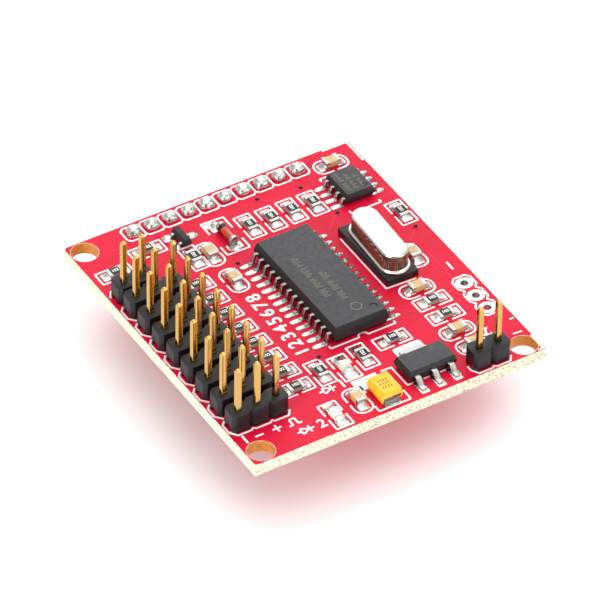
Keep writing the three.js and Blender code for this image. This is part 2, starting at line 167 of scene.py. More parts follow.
class ServoBoardStage(bpy.types.PropertyGroup):
    """The floor, lights and camera."""

    floor_size: length("Floor size", "Side of the floor", 3000.0)
    azimuth: turning("Azimuth", "Camera's turn round the board", -32.014)
    elevation: turning("Elevation", "Camera's height above the floor, as an angle", 41.136)
    roll: turning("Roll", "Camera's roll", 0.93)
    distance: length("Distance", "Camera's distance from its aim point", 737.4)
    lens: FloatProperty(name="Lens", description="Focal length in millimetres", default=375.5, min=1.0)
    back_power: power("Back power", "Power of the back panel", 9.0)
    top_power: power("Top power", "Power of the overhead panel", 5.4)
    left_power: power("Left power", "Power of the front-left panel", 13.0)
    right_power: power("Right power", "Power of the front-right panel", 5.0)
    world: FloatProperty(name="Surround", description="Strength of the even surround", default=0.69, min=0.0)


# ---------------------------------------------------------------------------------------------
# Shared tools
# ---------------------------------------------------------------------------------------------


def spot(x, y, z=0.0):
    """A point counted from the board's left edge, front edge and top face, in metres in the CAD frame."""
    return Vector((board_low.x + x * MM, board_low.y + y * MM, BOARD_TOP + z * MM))


def spot_below(x, y, drop=0.0):
    """The like point under the board: drop counts down from its underside."""
    return Vector((board_low.x + x * MM, board_low.y + y * MM, board_low.z - drop * MM))


def centre(node):
    """Middle of a CAD node's box."""
    low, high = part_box(node)
    return (low + high) / 2


def place_of(node):
    """Middle of a CAD node, counted in millimetres from the board's left and front edges."""
    middle = centre(node)
    return (middle.x - board_low.x) / MM, (middle.y - board_low.y) / MM


def add_node(tree, kind, inputs=None, **settings):
    """Adds a node to a tree. inputs maps a socket's name or number to a value or to another node's output."""
    node = tree.nodes.new(kind)
    for key, value in settings.items():
        setattr(node, key, value)
    for key, value in (inputs or {}).items():
        if isinstance(value, bpy.types.NodeSocket):
            tree.links.new(value, node.inputs[key])
        else:
            node.inputs[key].default_value = value
    return node


def new_material(name, base, roughness, metallic=0.0, **inputs):
    """A Principled material, with its uniform values on the shader's own sockets.

    Returns the material, its tree and its shader."""
    made = bpy.data.materials.new(name)
    made.use_nodes = True
    tree = made.node_tree
    tree.nodes.clear()
    values = {"Base Color": (*base, 1.0), "Roughness": roughness, "Metallic": metallic, **inputs}
    shader = add_node(tree, "ShaderNodeBsdfPrincipled", values)
    add_node(tree, "ShaderNodeOutputMaterial", {"Surface": shader.outputs["BSDF"]})
    made.diffuse_color = (*base, 1.0)
    return made, tree, shader


def object_coordinates(tree, stretch=(1.0, 1.0, 1.0)):
    """Object coordinates in millimetres, with each axis stretched as asked."""
    source = add_node(tree, "ShaderNodeTexCoord")
    scale = tuple(s / MM for s in stretch)
    mapping = add_node(tree, "ShaderNodeMapping", {"Vector": source.outputs["Object"], "Scale": scale})
    return mapping.outputs[0]


def add_grain(tree, shader, size, height, stretch=(1.0, 1.0, 1.0), detail=3.0):
    """Bump from noise whose grains are size millimetres across and height millimetres deep."""
    where = object_coordinates(tree, stretch)
    noise = add_node(tree, "ShaderNodeTexNoise", {"Vector": where, "Scale": 1.0 / size, "Detail": detail})
    bump = add_node(
        tree, "ShaderNodeBump", {"Height": noise.outputs["Fac"], "Strength": 1.0, "Distance": height * MM}
    )
    tree.links.new(bump.outputs["Normal"], shader.inputs["Normal"])


def vary(tree, shader, socket, size, low, high, stretch=(1.0, 1.0, 1.0), edges=(0.35, 0.65), detail=2.0):
    """Sends noise of a real size into one shader socket, between two values or two colours."""
    where = object_coordinates(tree, stretch)
    noise = add_node(tree, "ShaderNodeTexNoise", {"Vector": where, "Scale": 1.0 / size, "Detail": detail})
    ramp = add_node(tree, "ShaderNodeValToRGB", {"Fac": noise.outputs["Fac"]})
    for stop, position, value in zip(ramp.color_ramp.elements, edges, (low, high)):
        stop.position = position
        stop.color = (*value, 1.0) if isinstance(value, tuple) else (value, value, value, 1.0)
    tree.links.new(ramp.outputs["Color"], shader.inputs[socket])


def shaded(values, factor):
    """A colour made darker or lighter by a factor."""
    return tuple(min(1.0, v * factor) for v in values)


def finish_piece(name, data, replaces=(), angle=35.0):
    """Shades a finished mesh smooth up to an angle, in degrees, and hands its object to the frame."""
    data.polygons.foreach_set("use_smooth", [True] * len(data.polygons))
    data.set_sharp_from_angle(angle=math.radians(angle))
    piece = bpy.data.objects.new(name, data)
    bpy.context.scene.collection.objects.link(piece)
    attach(piece, BODY)
    if replaces:
        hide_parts(*replaces)


def piece_from(name, bm, materials, replaces=(), angle=35.0):
    """Makes a finished piece from a bmesh, which it uses up."""
    data = bpy.data.meshes.new(name)
    bm.to_mesh(data)
    bm.free()
    for made in materials:
        data.materials.append(made)
    finish_piece(name, data, replaces, angle)


def weld(bm):
    """Joins points that lie on each other, then turns every face outwards."""
    bmesh.ops.remove_doubles(bm, verts=bm.verts, dist=WELD)
    bmesh.ops.recalc_face_normals(bm, faces=bm.faces)


def evaluated_mesh(source, name):
    """The mesh that an object's modifiers make, with nothing live left in it."""
    bpy.context.view_layer.update()
    graph = bpy.context.evaluated_depsgraph_get()
    data = bpy.data.meshes.new_from_object(source.evaluated_get(graph), depsgraph=graph)
    data.name = name
    return data


def cad_copy(node):
    """A welded copy of a CAD node's mesh, with the flat faces' inner edges dissolved."""
    bm = bmesh.new()
    bm.from_mesh(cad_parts[node].data)
    bmesh.ops.remove_doubles(bm, verts=bm.verts, dist=WELD)
    bmesh.ops.dissolve_limit(bm, angle_limit=math.radians(1.0), verts=bm.verts, edges=bm.edges)
    return bm


def soften(bm, width, segments=2, angle=30.0, only=None):
    """Rounds the edges of a bmesh that turn by more than an angle in degrees, to a width in millimetres."""
    limit = math.radians(angle)
    edges = [e for e in bm.edges if e.is_manifold and e.calc_face_angle(0.0) > limit]
    if only is not None:
        edges = [e for e in edges if only(e)]
    bmesh.ops.bevel(
        bm, geom=edges, offset=width * MM, segments=segments, profile=0.5, affect="EDGES", clamp_overlap=True
    )
    weld(bm)


def add_block(bm, middle, size, draft=0.0):
    """Adds a box with its top drawn in by the draft, all in metres."""
    half = Vector(size) / 2
    corners = []
    for z, inset in ((-half.z, 0.0), (half.z, draft)):
        for sx, sy in ((-1, -1), (1, -1), (1, 1), (-1, 1)):
            reach = Vector((sx * (half.x - inset), sy * (half.y - inset), z))
            corners.append(bm.verts.new(Vector(middle) + reach))
    low, high = corners[:4], corners[4:]
    bm.faces.new(low[::-1])
    bm.faces.new(high)
    for i in range(4):
        j = (i + 1) % 4
        bm.faces.new((low[i], low[j], high[j], high[i]))


def add_lathe(bm, profile, sides, matrix=None):
    """Adds a turned shape about Z from (radius, height) pairs in millimetres.

    The pairs run up from the axis and back to it, or round a ring's section, whose ends weld() then joins."""
    rings = []
    for radius, height in profile:
        if radius < 1e-6:
            rings.append([bm.verts.new((0, 0, height * MM))])
            continue
        turns = [2 * math.pi * i / sides for i in range(sides)]
        rings.append(
            [bm.verts.new((radius * MM * math.cos(t), radius * MM * math.sin(t), height * MM)) for t in turns]
        )
    for lower, upper in zip(rings, rings[1:]):
        for i in range(sides):
            j = (i + 1) % sides
            m, n = len(lower), len(upper)
            loop = [lower[i % m], lower[j % m], upper[j % n], upper[i % n]]
            # A ring on the axis is one point, so its corners fall together.
            corners = list(dict.fromkeys(loop))
            if len(corners) > 2:
                bm.faces.new(corners)
    if matrix is not None:
        bmesh.ops.transform(bm, matrix=matrix, verts=[v for ring in rings for v in ring])


def add_mound(bm, size, height, edge=0.25, steps=(8, 6), square=3.0):
    """Adds a closed pad of solder: flat below, domed above, with a rounded outline. All in millimetres.

    edge is the share of the height at the rim. square is 2 for an oval outline and more for a squarer one."""
    nu, nv = steps
    half_x, half_y = size[0] / 2, size[1] / 2
    top, bottom = [], []
    for i in range(nu + 1):
        for j in range(nv + 1):
            u, v = 2 * i / nu - 1, 2 * j / nv - 1
            reach = (abs(u) ** square + abs(v) ** square) ** (1 / square) if (u or v) else 0.0
            fit = max(abs(u), abs(v)) / reach if reach else 1.0
            x, y = u * fit * half_x, v * fit * half_y
            rise = height * (edge + (1 - edge) * (1 - max(abs(u), abs(v)) ** 2.2))
            top.append(bm.verts.new((x * MM, y * MM, rise * MM)))
            bottom.append(bm.verts.new((x * MM, y * MM, 0.0)))
    skin_grid(bm, top, bottom, nu, nv)


def skin_grid(bm, top, bottom, nu, nv):
    """Faces of a closed slab between two grids of (nu + 1) by (nv + 1) vertices."""

    def at(grid, i, j):
        return grid[i * (nv + 1) + j]

    for i in range(nu):
        for j in range(nv):
            bm.faces.new((at(top, i, j), at(top, i + 1, j), at(top, i + 1, j + 1), at(top, i, j + 1)))
            bm.faces.new(
                (at(bottom, i, j), at(bottom, i, j + 1), at(bottom, i + 1, j + 1), at(bottom, i + 1, j))
            )
    rim = [(i, 0) for i in range(nu)] + [(nu, j) for j in range(nv)]
    rim += [(i, nv) for i in range(nu, 0, -1)] + [(0, j) for j in range(nv, 0, -1)]
    for (i, j), (k, m) in zip(rim, rim[1:] + rim[:1]):
        bm.faces.new((at(bottom, i, j), at(bottom, k, m), at(top, k, m), at(top, i, j)))


def add_text(bm, words, size, middle, turn, height, bold):
    """Adds numerals as a thin raised print, centred on a point in metres and turned about Z.

    The size, the height and the bold strokes' growth are in millimetres."""
    line = bpy.data.curves.new("print", "FONT")
    line.body = words
    line.size = size * MM
    line.align_x = "CENTER"
    line.align_y = "CENTER"
    line.resolution_u = 3
    line.extrude = height / 2 * MM
    line.offset = bold * MM
    carrier = bpy.data.objects.new("print", line)
    bpy.context.scene.collection.objects.link(carrier)
    data = evaluated_mesh(carrier, "print")
    data.transform(Matrix.Translation(middle) @ Matrix.Rotation(turn, 4, "Z"))
    bm.from_mesh(data)
    bpy.data.objects.remove(carrier)
    bpy.data.curves.remove(line)
    bpy.data.meshes.remove(data)


# ---------------------------------------------------------------------------------------------
# Geometry Nodes: copies of one shape at many places, and flat lines along drawn paths
# ---------------------------------------------------------------------------------------------


def new_geometry_tree(name, inputs):
    """An empty geometry tree with named inputs, given as (name, socket kind, default)."""
    tree = bpy.data.node_groups.new(name, "GeometryNodeTree")
    tree.interface.new_socket("Geometry", in_out="INPUT", socket_type="NodeSocketGeometry")
    for label, kind, default in inputs:
        socket = tree.interface.new_socket(label, in_out="INPUT", socket_type=kind)
        if default is not None:
            socket.default_value = default
    tree.interface.new_socket("Geometry", in_out="OUTPUT", socket_type="NodeSocketGeometry")
    return tree, add_node(tree, "NodeGroupInput").outputs


def close_geometry_tree(tree, shape, material):
    """Ends a tree in Realize Instances and Set Material."""
    solid = add_node(tree, "GeometryNodeRealizeInstances", {"Geometry": shape})
    coated = add_node(tree, "GeometryNodeSetMaterial", {"Geometry": solid.outputs[0], "Material": material})
    add_node(tree, "NodeGroupOutput", {"Geometry": coated.outputs[0]})


def copies_tree():
    """Sets a copy of one shape on every point, turned by the point's own angle and a little uneven."""
    tree, given = new_geometry_tree(
        "copies_on_points",
        [
            ("Shape", "NodeSocketObject", None),
            ("Size Spread", "NodeSocketFloat", 0.0),
            ("Unevenness", "NodeSocketFloat", 0.0),
            ("Lump Size", "NodeSocketFloat", 0.4 * MM),
            ("Seed", "NodeSocketInt", 0),
            ("Material", "NodeSocketMaterial", None),
        ],
    )
    shape = add_node(tree, "GeometryNodeObjectInfo", {"Object": given["Shape"]}, transform_space="ORIGINAL")
    turn = add_node(tree, "GeometryNodeInputNamedAttribute", {"Name": "turn"}, data_type="FLOAT")
    angles = add_node(tree, "ShaderNodeCombineXYZ", {"Z": turn.outputs["Attribute"]})
    rotation = add_node(tree, "FunctionNodeEulerToRotation", {"Euler": angles.outputs[0]})
    least = add_node(tree, "ShaderNodeMath", {0: 1.0, 1: given["Size Spread"]}, operation="SUBTRACT")
    # The float inputs of Random Value follow its two vector inputs, so they are given by number.
    scale = add_node(
        tree,
        "FunctionNodeRandomValue",
        {2: least.outputs[0], 3: 1.0, "Seed": given["Seed"]},
        data_type="FLOAT",
    )
    spread = add_node(
        tree,
        "GeometryNodeInstanceOnPoints",
        {
            "Points": given["Geometry"],
            "Instance": shape.outputs["Geometry"],
            "Rotation": rotation.outputs[0],
            "Scale": scale.outputs[1],
        },
    )
    solid = add_node(tree, "GeometryNodeRealizeInstances", {"Geometry": spread.outputs[0]})
    place = add_node(tree, "GeometryNodeInputPosition")
    grain = add_node(tree, "ShaderNodeMath", {0: 1.0, 1: given["Lump Size"]}, operation="DIVIDE")
    lumps = add_node(
        tree,
        "ShaderNodeTexNoise",
        {"Vector": place.outputs[0], "Scale": grain.outputs[0], "Detail": 1.0},
        noise_dimensions="3D",
    )
    middle = add_node(
        tree, "ShaderNodeVectorMath", {0: lumps.outputs["Color"], 1: (0.5, 0.5, 0.5)}, operation="SUBTRACT"
    )
    push = add_node(
        tree, "ShaderNodeVectorMath", {0: middle.outputs[0], "Scale": given["Unevenness"]}, operation="SCALE"
    )
    moved = add_node(
        tree, "GeometryNodeSetPosition", {"Geometry": solid.outputs[0], "Offset": push.outputs[0]}
    )
    close_geometry_tree(tree, moved.outputs[0], given["Material"])
    return tree


def lines_tree():
    """Lays a flat line of one width and height along every drawn path, with its corners rounded."""
    tree, given = new_geometry_tree(
        "lines_on_paths",
        [
            ("Width", "NodeSocketFloat", 0.2 * MM),
            ("Height", "NodeSocketFloat", 0.03 * MM),
            ("Corner Radius", "NodeSocketFloat", 0.1 * MM),
            ("Material", "NodeSocketMaterial", None),
        ],
    )
    path = add_node(tree, "GeometryNodeMeshToCurve", {"Mesh": given["Geometry"]})
    up = add_node(tree, "GeometryNodeSetCurveNormal", {"Curve": path.outputs[0]}, mode="Z_UP")
    rounded = add_node(
        tree,
        "GeometryNodeFilletCurve",
        {"Curve": up.outputs[0], "Count": 4, "Radius": given["Corner Radius"], "Limit Radius": True},
        mode="POLY",
    )
    section = add_node(
        tree, "GeometryNodeCurvePrimitiveQuadrilateral", {"Width": given["Width"], "Height": given["Height"]}
    )
    line = add_node(
        tree,
        "GeometryNodeCurveToMesh",
        {"Curve": rounded.outputs[0], "Profile Curve": section.outputs[0], "Fill Caps": True},
    )
    close_geometry_tree(tree, line.outputs[0], given["Material"])
    return tree


def run_tree(name, base, tree, values):
    """Puts a tree on a base mesh, sets its inputs by identifier and keeps the result as a finished piece."""
    carrier = bpy.data.objects.new(name + "_base", base)
    bpy.context.scene.collection.objects.link(carrier)
    modifier = carrier.modifiers.new("build", "NODES")
    identifiers = {
        item.name: item.identifier
        for item in tree.interface.items_tree
        if item.item_type == "SOCKET" and item.in_out == "INPUT"
    }
    modifier.node_group = tree
    for label, value in values.items():
        modifier[identifiers[label]] = value
    data = evaluated_mesh(carrier, name)
    carrier.modifiers.remove(modifier)
    bpy.data.objects.remove(carrier)
    if not data.polygons:
        raise RuntimeError(f"{name} came out with no faces")
    bm = bmesh.new()
    bm.from_mesh(data)
    # A line's rounded corner can leave points on top of each other.
    weld(bm)
    bm.to_mesh(data)
    bm.free()
    finish_piece(name, data)


def repeat(name, shape, places, material, spread=0.0, uneven=0.0, lump=0.4):
    """Copies a bmesh, which it uses up, to (point, turn) places by Geometry Nodes.

    spread is how much smaller a copy may be, as a share, uneven is in metres and lump in millimetres."""
    pattern_data = bpy.data.meshes.new(name + "_pattern")
    shape.to_mesh(pattern_data)
    shape.free()
    pattern = bpy.data.objects.new(name + "_pattern", pattern_data)
    bpy.context.scene.collection.objects.link(pattern)
    base = bpy.data.meshes.new(name + "_places")
    base.from_pydata([point for point, _ in places], [], [])
    turns = base.attributes.new("turn", "FLOAT", "POINT")
    turns.data.foreach_set("value", [turn for _, turn in places])
    tree = bpy.data.node_groups.get("copies_on_points") or copies_tree()
    values = {
        "Shape": pattern,
        "Size Spread": spread,
        "Unevenness": uneven,
        "Lump Size": lump * MM,
        "Seed": bpy.context.scene.servo_board_parts.seed,
        "Material": material,
    }
    run_tree(name, base, tree, values)
    bpy.data.objects.remove(pattern)


def draw(name, paths, width, height, material, corner):
    """Draws flat lines along paths of points, by Geometry Nodes. A path whose ends meet is closed.

    Everything is in metres, except the corner's radius, which is in millimetres."""
    points, edges = [], []
    for path in paths:
        closed = (Vector(path[0]) - Vector(path[-1])).length < 1e-7
        loop = path[:-1] if closed else path
        first = len(points)
        points.extend(loop)
        edges += [(first + i, first + i + 1) for i in range(len(loop) - 1)]
        if closed:
            edges.append((first + len(loop) - 1, first))
    base = bpy.data.meshes.new(name + "_paths")
    base.from_pydata(points, edges, [])
    tree = bpy.data.node_groups.get("lines_on_paths") or lines_tree()
    values = {"Width": width, "Height": height, "Corner Radius": corner * MM, "Material": material}
    run_tree(name, base, tree, values)


# ---------------------------------------------------------------------------------------------
# Materials
# ---------------------------------------------------------------------------------------------


def colours():
    """The scene's own set of the board's colours."""
    return bpy.context.scene.servo_board_colours


def solder_mask(over_copper):
    """Red solder mask: a satin film of epoxy, over laminate or over copper."""
    base = tuple(colours().mask_copper if over_copper else colours().mask)
    name = "red_solder_mask_over_copper" if over_copper else "red_solder_mask"
    made, tree, shader = new_material(name, base, 0.42, **{"Specular IOR Level": 0.2})
    vary(tree, shader, "Base Color", 5.0, shaded(base, 0.93), shaded(base, 1.06), edges=(0.3, 0.7))
    vary(tree, shader, "Roughness", 1.2, 0.36, 0.48)
    # Levelling ripple of the cured film, some 0.9 mm from crest to crest.
    add_grain(tree, shader, 0.9, 0.006)
    return made


def cut_laminate():
    """Woven glass and epoxy, scored and snapped: pale cream, with broken fibres that catch the light."""
    base = tuple(colours().laminate)
    made, tree, shader = new_material("cut_glass_epoxy", base, 0.8, **{"Subsurface Weight": 0.15})
    shader.inputs["Subsurface Radius"].default_value = (0.4 * MM, 0.3 * MM, 0.15 * MM)
    low, high = shaded(base, 0.42), shaded(base, 1.08)
    vary(tree, shader, "Base Color", 0.24, low, high, (1, 1, 1.7), (0.38, 0.5), 5.0)
    add_grain(tree, shader, 0.2, 0.05, (1, 1, 1.6), 6.0)
    return made


def drilled_laminate():
    """The same laminate where a drill burnished it: amber, smoother, with rings from the drill."""
    base = tuple(colours().drilled)
    made, tree, shader = new_material("drilled_glass_epoxy", base, 0.42, **{"Subsurface Weight": 0.1})
    shader.inputs["Subsurface Radius"].default_value = (0.5 * MM, 0.3 * MM, 0.1 * MM)
    vary(tree, shader, "Base Color", 0.5, shaded(base, 0.75), shaded(base, 1.2), (1, 1, 4), (0.35, 0.65), 4.0)
    add_grain(tree, shader, 0.3, 0.03, (1, 1, 5))
    return made


def legend_ink():
    """Screen-printed epoxy ink: opaque white, satin, slightly rough at its edges."""
    base = tuple(colours().ink)
    made, tree, shader = new_material("white_legend_ink", base, 0.5)
    vary(tree, shader, "Base Color", 0.4, shaded(base, 0.93), base)
    add_grain(tree, shader, 0.1, 0.004)
    return made


def bright_solder():
    """Tin-lead solder cooled from the melt: bright, faintly frosted, with small ripples."""
    base = tuple(colours().solder)
    made, tree, shader = new_material("reflowed_solder", base, 0.2, 1.0)
    vary(tree, shader, "Roughness", 0.25, 0.12, 0.36)
    add_grain(tree, shader, 0.3, 0.06)
    return made


def tinned_metal(name, factor, depth):
    """Tin plate over a stamped copper-alloy lead.

    It is bright and a little brushed. factor scales its colour: the half-bright copy paints the shade on the
    chips' leads and the capacitor's terminals."""
    base = shaded(tuple(colours().solder), factor)
    made, tree, shader = new_material(name, base, 0.26, 1.0)
    vary(tree, shader, "Roughness", 0.3, 0.18, 0.36)
    add_grain(tree, shader, 0.25, depth)
    return made


def gold_plate():
    """Flash gold over nickel on drawn square wire: warm, bright, with faint lines along the pin."""
    base = tuple(colours().gold)
    made, tree, shader = new_material("gold_plate", base, 0.16, 1.0)
    vary(tree, shader, "Roughness", 0.4, 0.1, 0.2, (1, 1, 0.15), (0.3, 0.7))
    add_grain(tree, shader, 0.2, 0.003, (1, 1, 0.08), 1.0)
    return made


def gold_and_tin():
    """Gold plate above the board, and solder over it below, where the pins were dipped."""
    base = tuple(colours().gold)
    made, tree, shader = new_material("gold_plate_tinned_below", base, 0.16, 1.0)
    source = add_node(tree, "ShaderNodeTexCoord")
    axes = add_node(tree, "ShaderNodeSeparateXYZ", {"Vector": source.outputs["Object"]})
    below = add_node(tree, "ShaderNodeMath", {0: axes.outputs["Z"], 1: 0.0}, operation="LESS_THAN")
    # The Mix node's colours are its inputs 6 and 7 and its output 2,
    # after the sockets for numbers and vectors.
    tin = tuple(colours().solder)
    mixed = add_node(
        tree,
        "ShaderNodeMix",
        {"Factor": below.outputs[0], 6: (*base, 1.0), 7: (*tin, 1.0)},
        data_type="RGBA",
    )
    tree.links.new(mixed.outputs[2], shader.inputs["Base Color"])
    vary(tree, shader, "Roughness", 0.4, 0.1, 0.2, (1, 1, 0.15), (0.3, 0.7))
    add_grain(tree, shader, 0.2, 0.003, (1, 1, 0.08), 1.0)
    return made


def header_plastic():
    """Glass-filled polyester, injection moulded: near black, satin, with a fine moulded grain."""
    base = tuple(colours().nylon)
    made, tree, shader = new_material("moulded_polyester", base, 0.42, **{"Specular IOR Level": 0.38})
    vary(tree, shader, "Base Color", 0.5, shaded(base, 0.85), shaded(base, 1.3), edges=(0.3, 0.7), detail=4.0)
    add_grain(tree, shader, 0.14, 0.012, detail=5.0)
    return made


def chip_moulding(name, factor):
    """Silica-filled epoxy moulding compound: dark grey, matt, with the grain of an eroded mould; factor
    scales the colour, and a quarter-bright copy paints shade.
    """
    base = shaded(tuple(colours().moulding), factor)
    made, tree, shader = new_material(name, base, 0.55)
    vary(tree, shader, "Base Color", 0.2, shaded(base, 0.82), shaded(base, 1.2), edges=(0.3, 0.7), detail=4.0)
    vary(tree, shader, "Roughness", 0.6, 0.46, 0.62)
    add_grain(tree, shader, 0.12, 0.01, detail=5.0)
    return made


def laser_mark():
    """Epoxy bleached by a marking laser: a pale warm grey, no thicker than a film."""
    base = linear("#77725F")
    made, tree, shader = new_material("laser_mark", base, 0.7)
    vary(tree, shader, "Base Color", 0.15, shaded(base, 0.75), shaded(base, 1.1))
    return made


def drawn_nickel(name, base, metallic):
    """Deep-drawn nickel silver: mirror bright, with faint draw lines; the wall's darker, browner copy paints
    the shade and reflections on it.
    """
    made, tree, shader = new_material(name, base, 0.1, metallic)
    vary(tree, shader, "Roughness", 1.0, 0.06, 0.13)
    # Draw lines run up the wall, some 0.45 mm apart: coarser than real ones, so that they show.
    add_grain(tree, shader, 0.45, 0.004, (1, 1, 0.04), 0.0)
    return made


def capacitor_epoxy():
    """Moulded epoxy over a tantalum slug: strong yellow, satin, faintly mottled."""
    base = tuple(colours().tantalum)
    made, tree, shader = new_material("yellow_epoxy", base, 0.42, **{"Subsurface Weight": 0.08})
    shader.inputs["Subsurface Radius"].default_value = (0.5 * MM, 0.3 * MM, 0.1 * MM)
    vary(tree, shader, "Base Color", 0.5, shaded(base, 0.88), shaded(base, 1.05))
    add_grain(tree, shader, 0.15, 0.008)
    return made


def scorched_epoxy():
    """Laser mark on yellow epoxy: a scorched ochre."""
    base = linear("#A86A12")
    made, tree, shader = new_material("scorched_epoxy_mark", base, 0.6)
    vary(tree, shader, "Base Color", 0.1, shaded(base, 0.8), shaded(base, 1.15))
    return made


def capacitor_ceramic():
    """Fired barium titanate: tan, dense, nearly matt, with faint layers."""
    base = tuple(colours().ceramic)
    made, tree, shader = new_material("fired_tan_ceramic", base, 0.4)
    vary(tree, shader, "Base Color", 0.3, shaded(base, 0.85), shaded(base, 1.1), (1, 1, 3))
    add_grain(tree, shader, 0.08, 0.006)
    return made


def fired_alumina(name, base):
    """Fired alumina plate under a chip part: chalky, white or stained grey, with a scribed edge."""
    made, tree, shader = new_material(name, base, 0.6)
    vary(tree, shader, "Base Color", 0.2, shaded(base, 0.88), base)
    add_grain(tree, shader, 0.06, 0.006)
    return made


def black_glaze():
    """Black glaze, satin rather than polished."""
    base = linear("#141317")
    made, tree, shader = new_material("black_overglaze", base, 0.38, **{"Specular IOR Level": 0.35})
    vary(tree, shader, "Roughness", 0.4, 0.32, 0.46)
    add_grain(tree, shader, 0.2, 0.008)
    return made


def diode_band():
    """Fired band of dark brown ink with hardly any glaze, which marks the diode's cathode."""
    base = linear("#2A0D08")
    made, tree, shader = new_material(
        "brown_cathode_band", base, 0.34, **{"Coat Weight": 0.1, "Specular IOR Level": 0.35}
    )
    vary(tree, shader, "Base Color", 0.3, shaded(base, 0.7), shaded(base, 1.4))
    return made


def diode_glass():
    """Sealed glass sleeve over a copper slug: so dark an orange-red that it is drawn solid, and polished."""
    base = tuple(colours().glass)
    made, tree, shader = new_material(
        "orange_diode_glass", base, 0.08, **{"Coat Weight": 0.6, "Coat Roughness": 0.04, "IOR": 1.52}
    )
    vary(tree, shader, "Base Color", 0.8, shaded(base, 0.6), shaded(base, 1.25), (1, 0.6, 1))
    add_grain(tree, shader, 0.5, 0.01)
    return made


def clear_lens():
    """Water-clear epoxy over a reflector, cloudy at this size: milky white with a green cast."""
    base = linear("#F6F6EE")
    made, tree, shader = new_material(
        "cloudy_led_epoxy",
        base,
        0.18,
        **{"Subsurface Weight": 0.5, "Coat Weight": 0.4, "Coat Roughness": 0.08},
    )
    shader.inputs["Subsurface Radius"].default_value = (0.4 * MM, 0.4 * MM, 0.3 * MM)
    vary(tree, shader, "Base Color", 0.35, linear("#E2EBD2"), base)
    add_grain(tree, shader, 0.4, 0.01)
    return made


def painted_via_shade():
    """A disc of painted shade for the unlit inside of a plated via: nearly black, with a little of the red
    round it.
    """
    made, tree, shader = new_material("unlit_hole", linear("#1E0508"), 0.9)
    vary(tree, shader, "Base Color", 0.1, linear("#160306"), linear("#2A080C"))
    return made


MAKERS = {
    "mask": lambda: solder_mask(False),
    "mask_copper": lambda: solder_mask(True),
    "laminate": cut_laminate,
    "drilled": drilled_laminate,
    "ink": legend_ink,
    "solder": bright_solder,
    "tin": lambda: tinned_metal("tin_plate", 0.82, 0.01),
    # A half-bright copy of the tin: painted shade on the chips' leads and the capacitor's terminals.
    "shaded_lead_tin": lambda: tinned_metal("tin_plate_painted_shade", 0.5, 0.004),
    "gold": gold_plate,
    "gold_tin": gold_and_tin,
    "nylon": header_plastic,
    "moulding": lambda: chip_moulding("chip_moulding", 1.0),
    # A quarter-bright copy: painted shade on the moulded bodies' sides, and the transistor's darker body.
    "dark_body_and_shade_moulding": lambda: chip_moulding("dark_body_and_painted_shade_moulding", 0.25),
    "mark": laser_mark,
    "nickel": lambda: drawn_nickel("drawn_nickel_silver", linear("#D9D3CA"), 1.0),
    # A darker, browner, less metallic copy of the nickel for the can's wall: painted shade and reflection.
    "painted_shade_nickel_wall": lambda: drawn_nickel("nickel_wall_painted_shade", linear("#85705F"), 0.75),
    "tantalum": capacitor_epoxy,
    "scorch": scorched_epoxy,
    "ceramic": capacitor_ceramic,
    "alumina": lambda: fired_alumina("white_alumina", linear("#E9E6DF")),
    "grey_alumina": lambda: fired_alumina("grey_alumina", linear("#A39C92")),
    "glaze": black_glaze,
    "glass": diode_glass,
    "band": diode_band,
    "lens": clear_lens,
    "void": painted_via_shade,
}
made_materials = {}


def stuff(name):
    """A material by its short name, made when it is first asked for."""
    if name not in made_materials:
        made_materials[name] = MAKERS[name]()
    return made_materials[name]


# ---------------------------------------------------------------------------------------------
# Places on the board
# ---------------------------------------------------------------------------------------------

# Chip resistors: x and y of the middle, and whether the chip lies along X.
RESISTORS = [
    (21.3, 36.5, False), (24.2, 36.4, False), (27.1, 36.4, False), (30.0, 36.3, False),
    (38.2, 29.5, False), (20.6, 9.8, False), (14.8, 9.9, False), (12.6, 34.9, False),
    (32.8, 14.0, True), (32.8, 11.1, True), (25.1, 10.6, True), (3.1, 37.2, True), (8.5, 38.9, True),
]
# The resistor of the first servo signal, and the step from each of these to the next.
SERIES_RESISTOR_FIRST = (10.9, 9.06)
SERIES_RESISTOR_STEP = (-0.11, 3.04)
CAPACITORS = [
    "memory_capacitor", "reset_capacitor", "controller_capacitor", "crystal_capacitor_right",
    "crystal_capacitor_front", "filter_capacitor", "input_capacitor", "output_capacitor",
]
LEDS = ["status_led", "power_led"]
# Half the length of a ceramic capacitor or a light-emitting diode.
CHIP_HALF_LENGTH = 1.0
VIAS = [(24.6, 40.3), (30.2, 39.5), (31.6, 33.3), (38.3, 26.4), (16.55, 31.4), (16.1, 12.3)]
VIA_OPENING_RADIUS = 0.27
# The three plated holes with no header, from the right edge and from the front edge.
BARE_HOLE_SIDE_INSET = 2.0
BARE_HOLE_FRONT_INSET = 9.71
BARE_HOLES = [(BOARD_WIDTH - BARE_HOLE_SIDE_INSET, BARE_HOLE_FRONT_INSET + PITCH * k) for k in range(3)]
BARE_HOLE_OPENING_RADIUS = 0.8
MOUNT_INSET = 1.95
MOUNT_HOLES = [
    (MOUNT_INSET, MOUNT_INSET),
    (BOARD_WIDTH - MOUNT_INSET, MOUNT_INSET),
    (MOUNT_INSET, BOARD_DEPTH - MOUNT_INSET),
]
MOUNT_HOLE_DIAMETER = 3.4
MOUNT_HOLE_OPENING_GAP = 0.06


def all_resistors():
    """Every chip resistor, the eight series resistors of the servo signals among them."""
    (x, y), (step_x, step_y) = SERIES_RESISTOR_FIRST, SERIES_RESISTOR_STEP
    return RESISTORS + [(x + row * step_x, y + row * step_y, True) for row in range(SERVO_ROWS)]


def lies_along_x(node):
    """True if a CAD node's box is longer along X than along Y."""
    low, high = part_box(node)
    return high.x - low.x > high.y - low.y


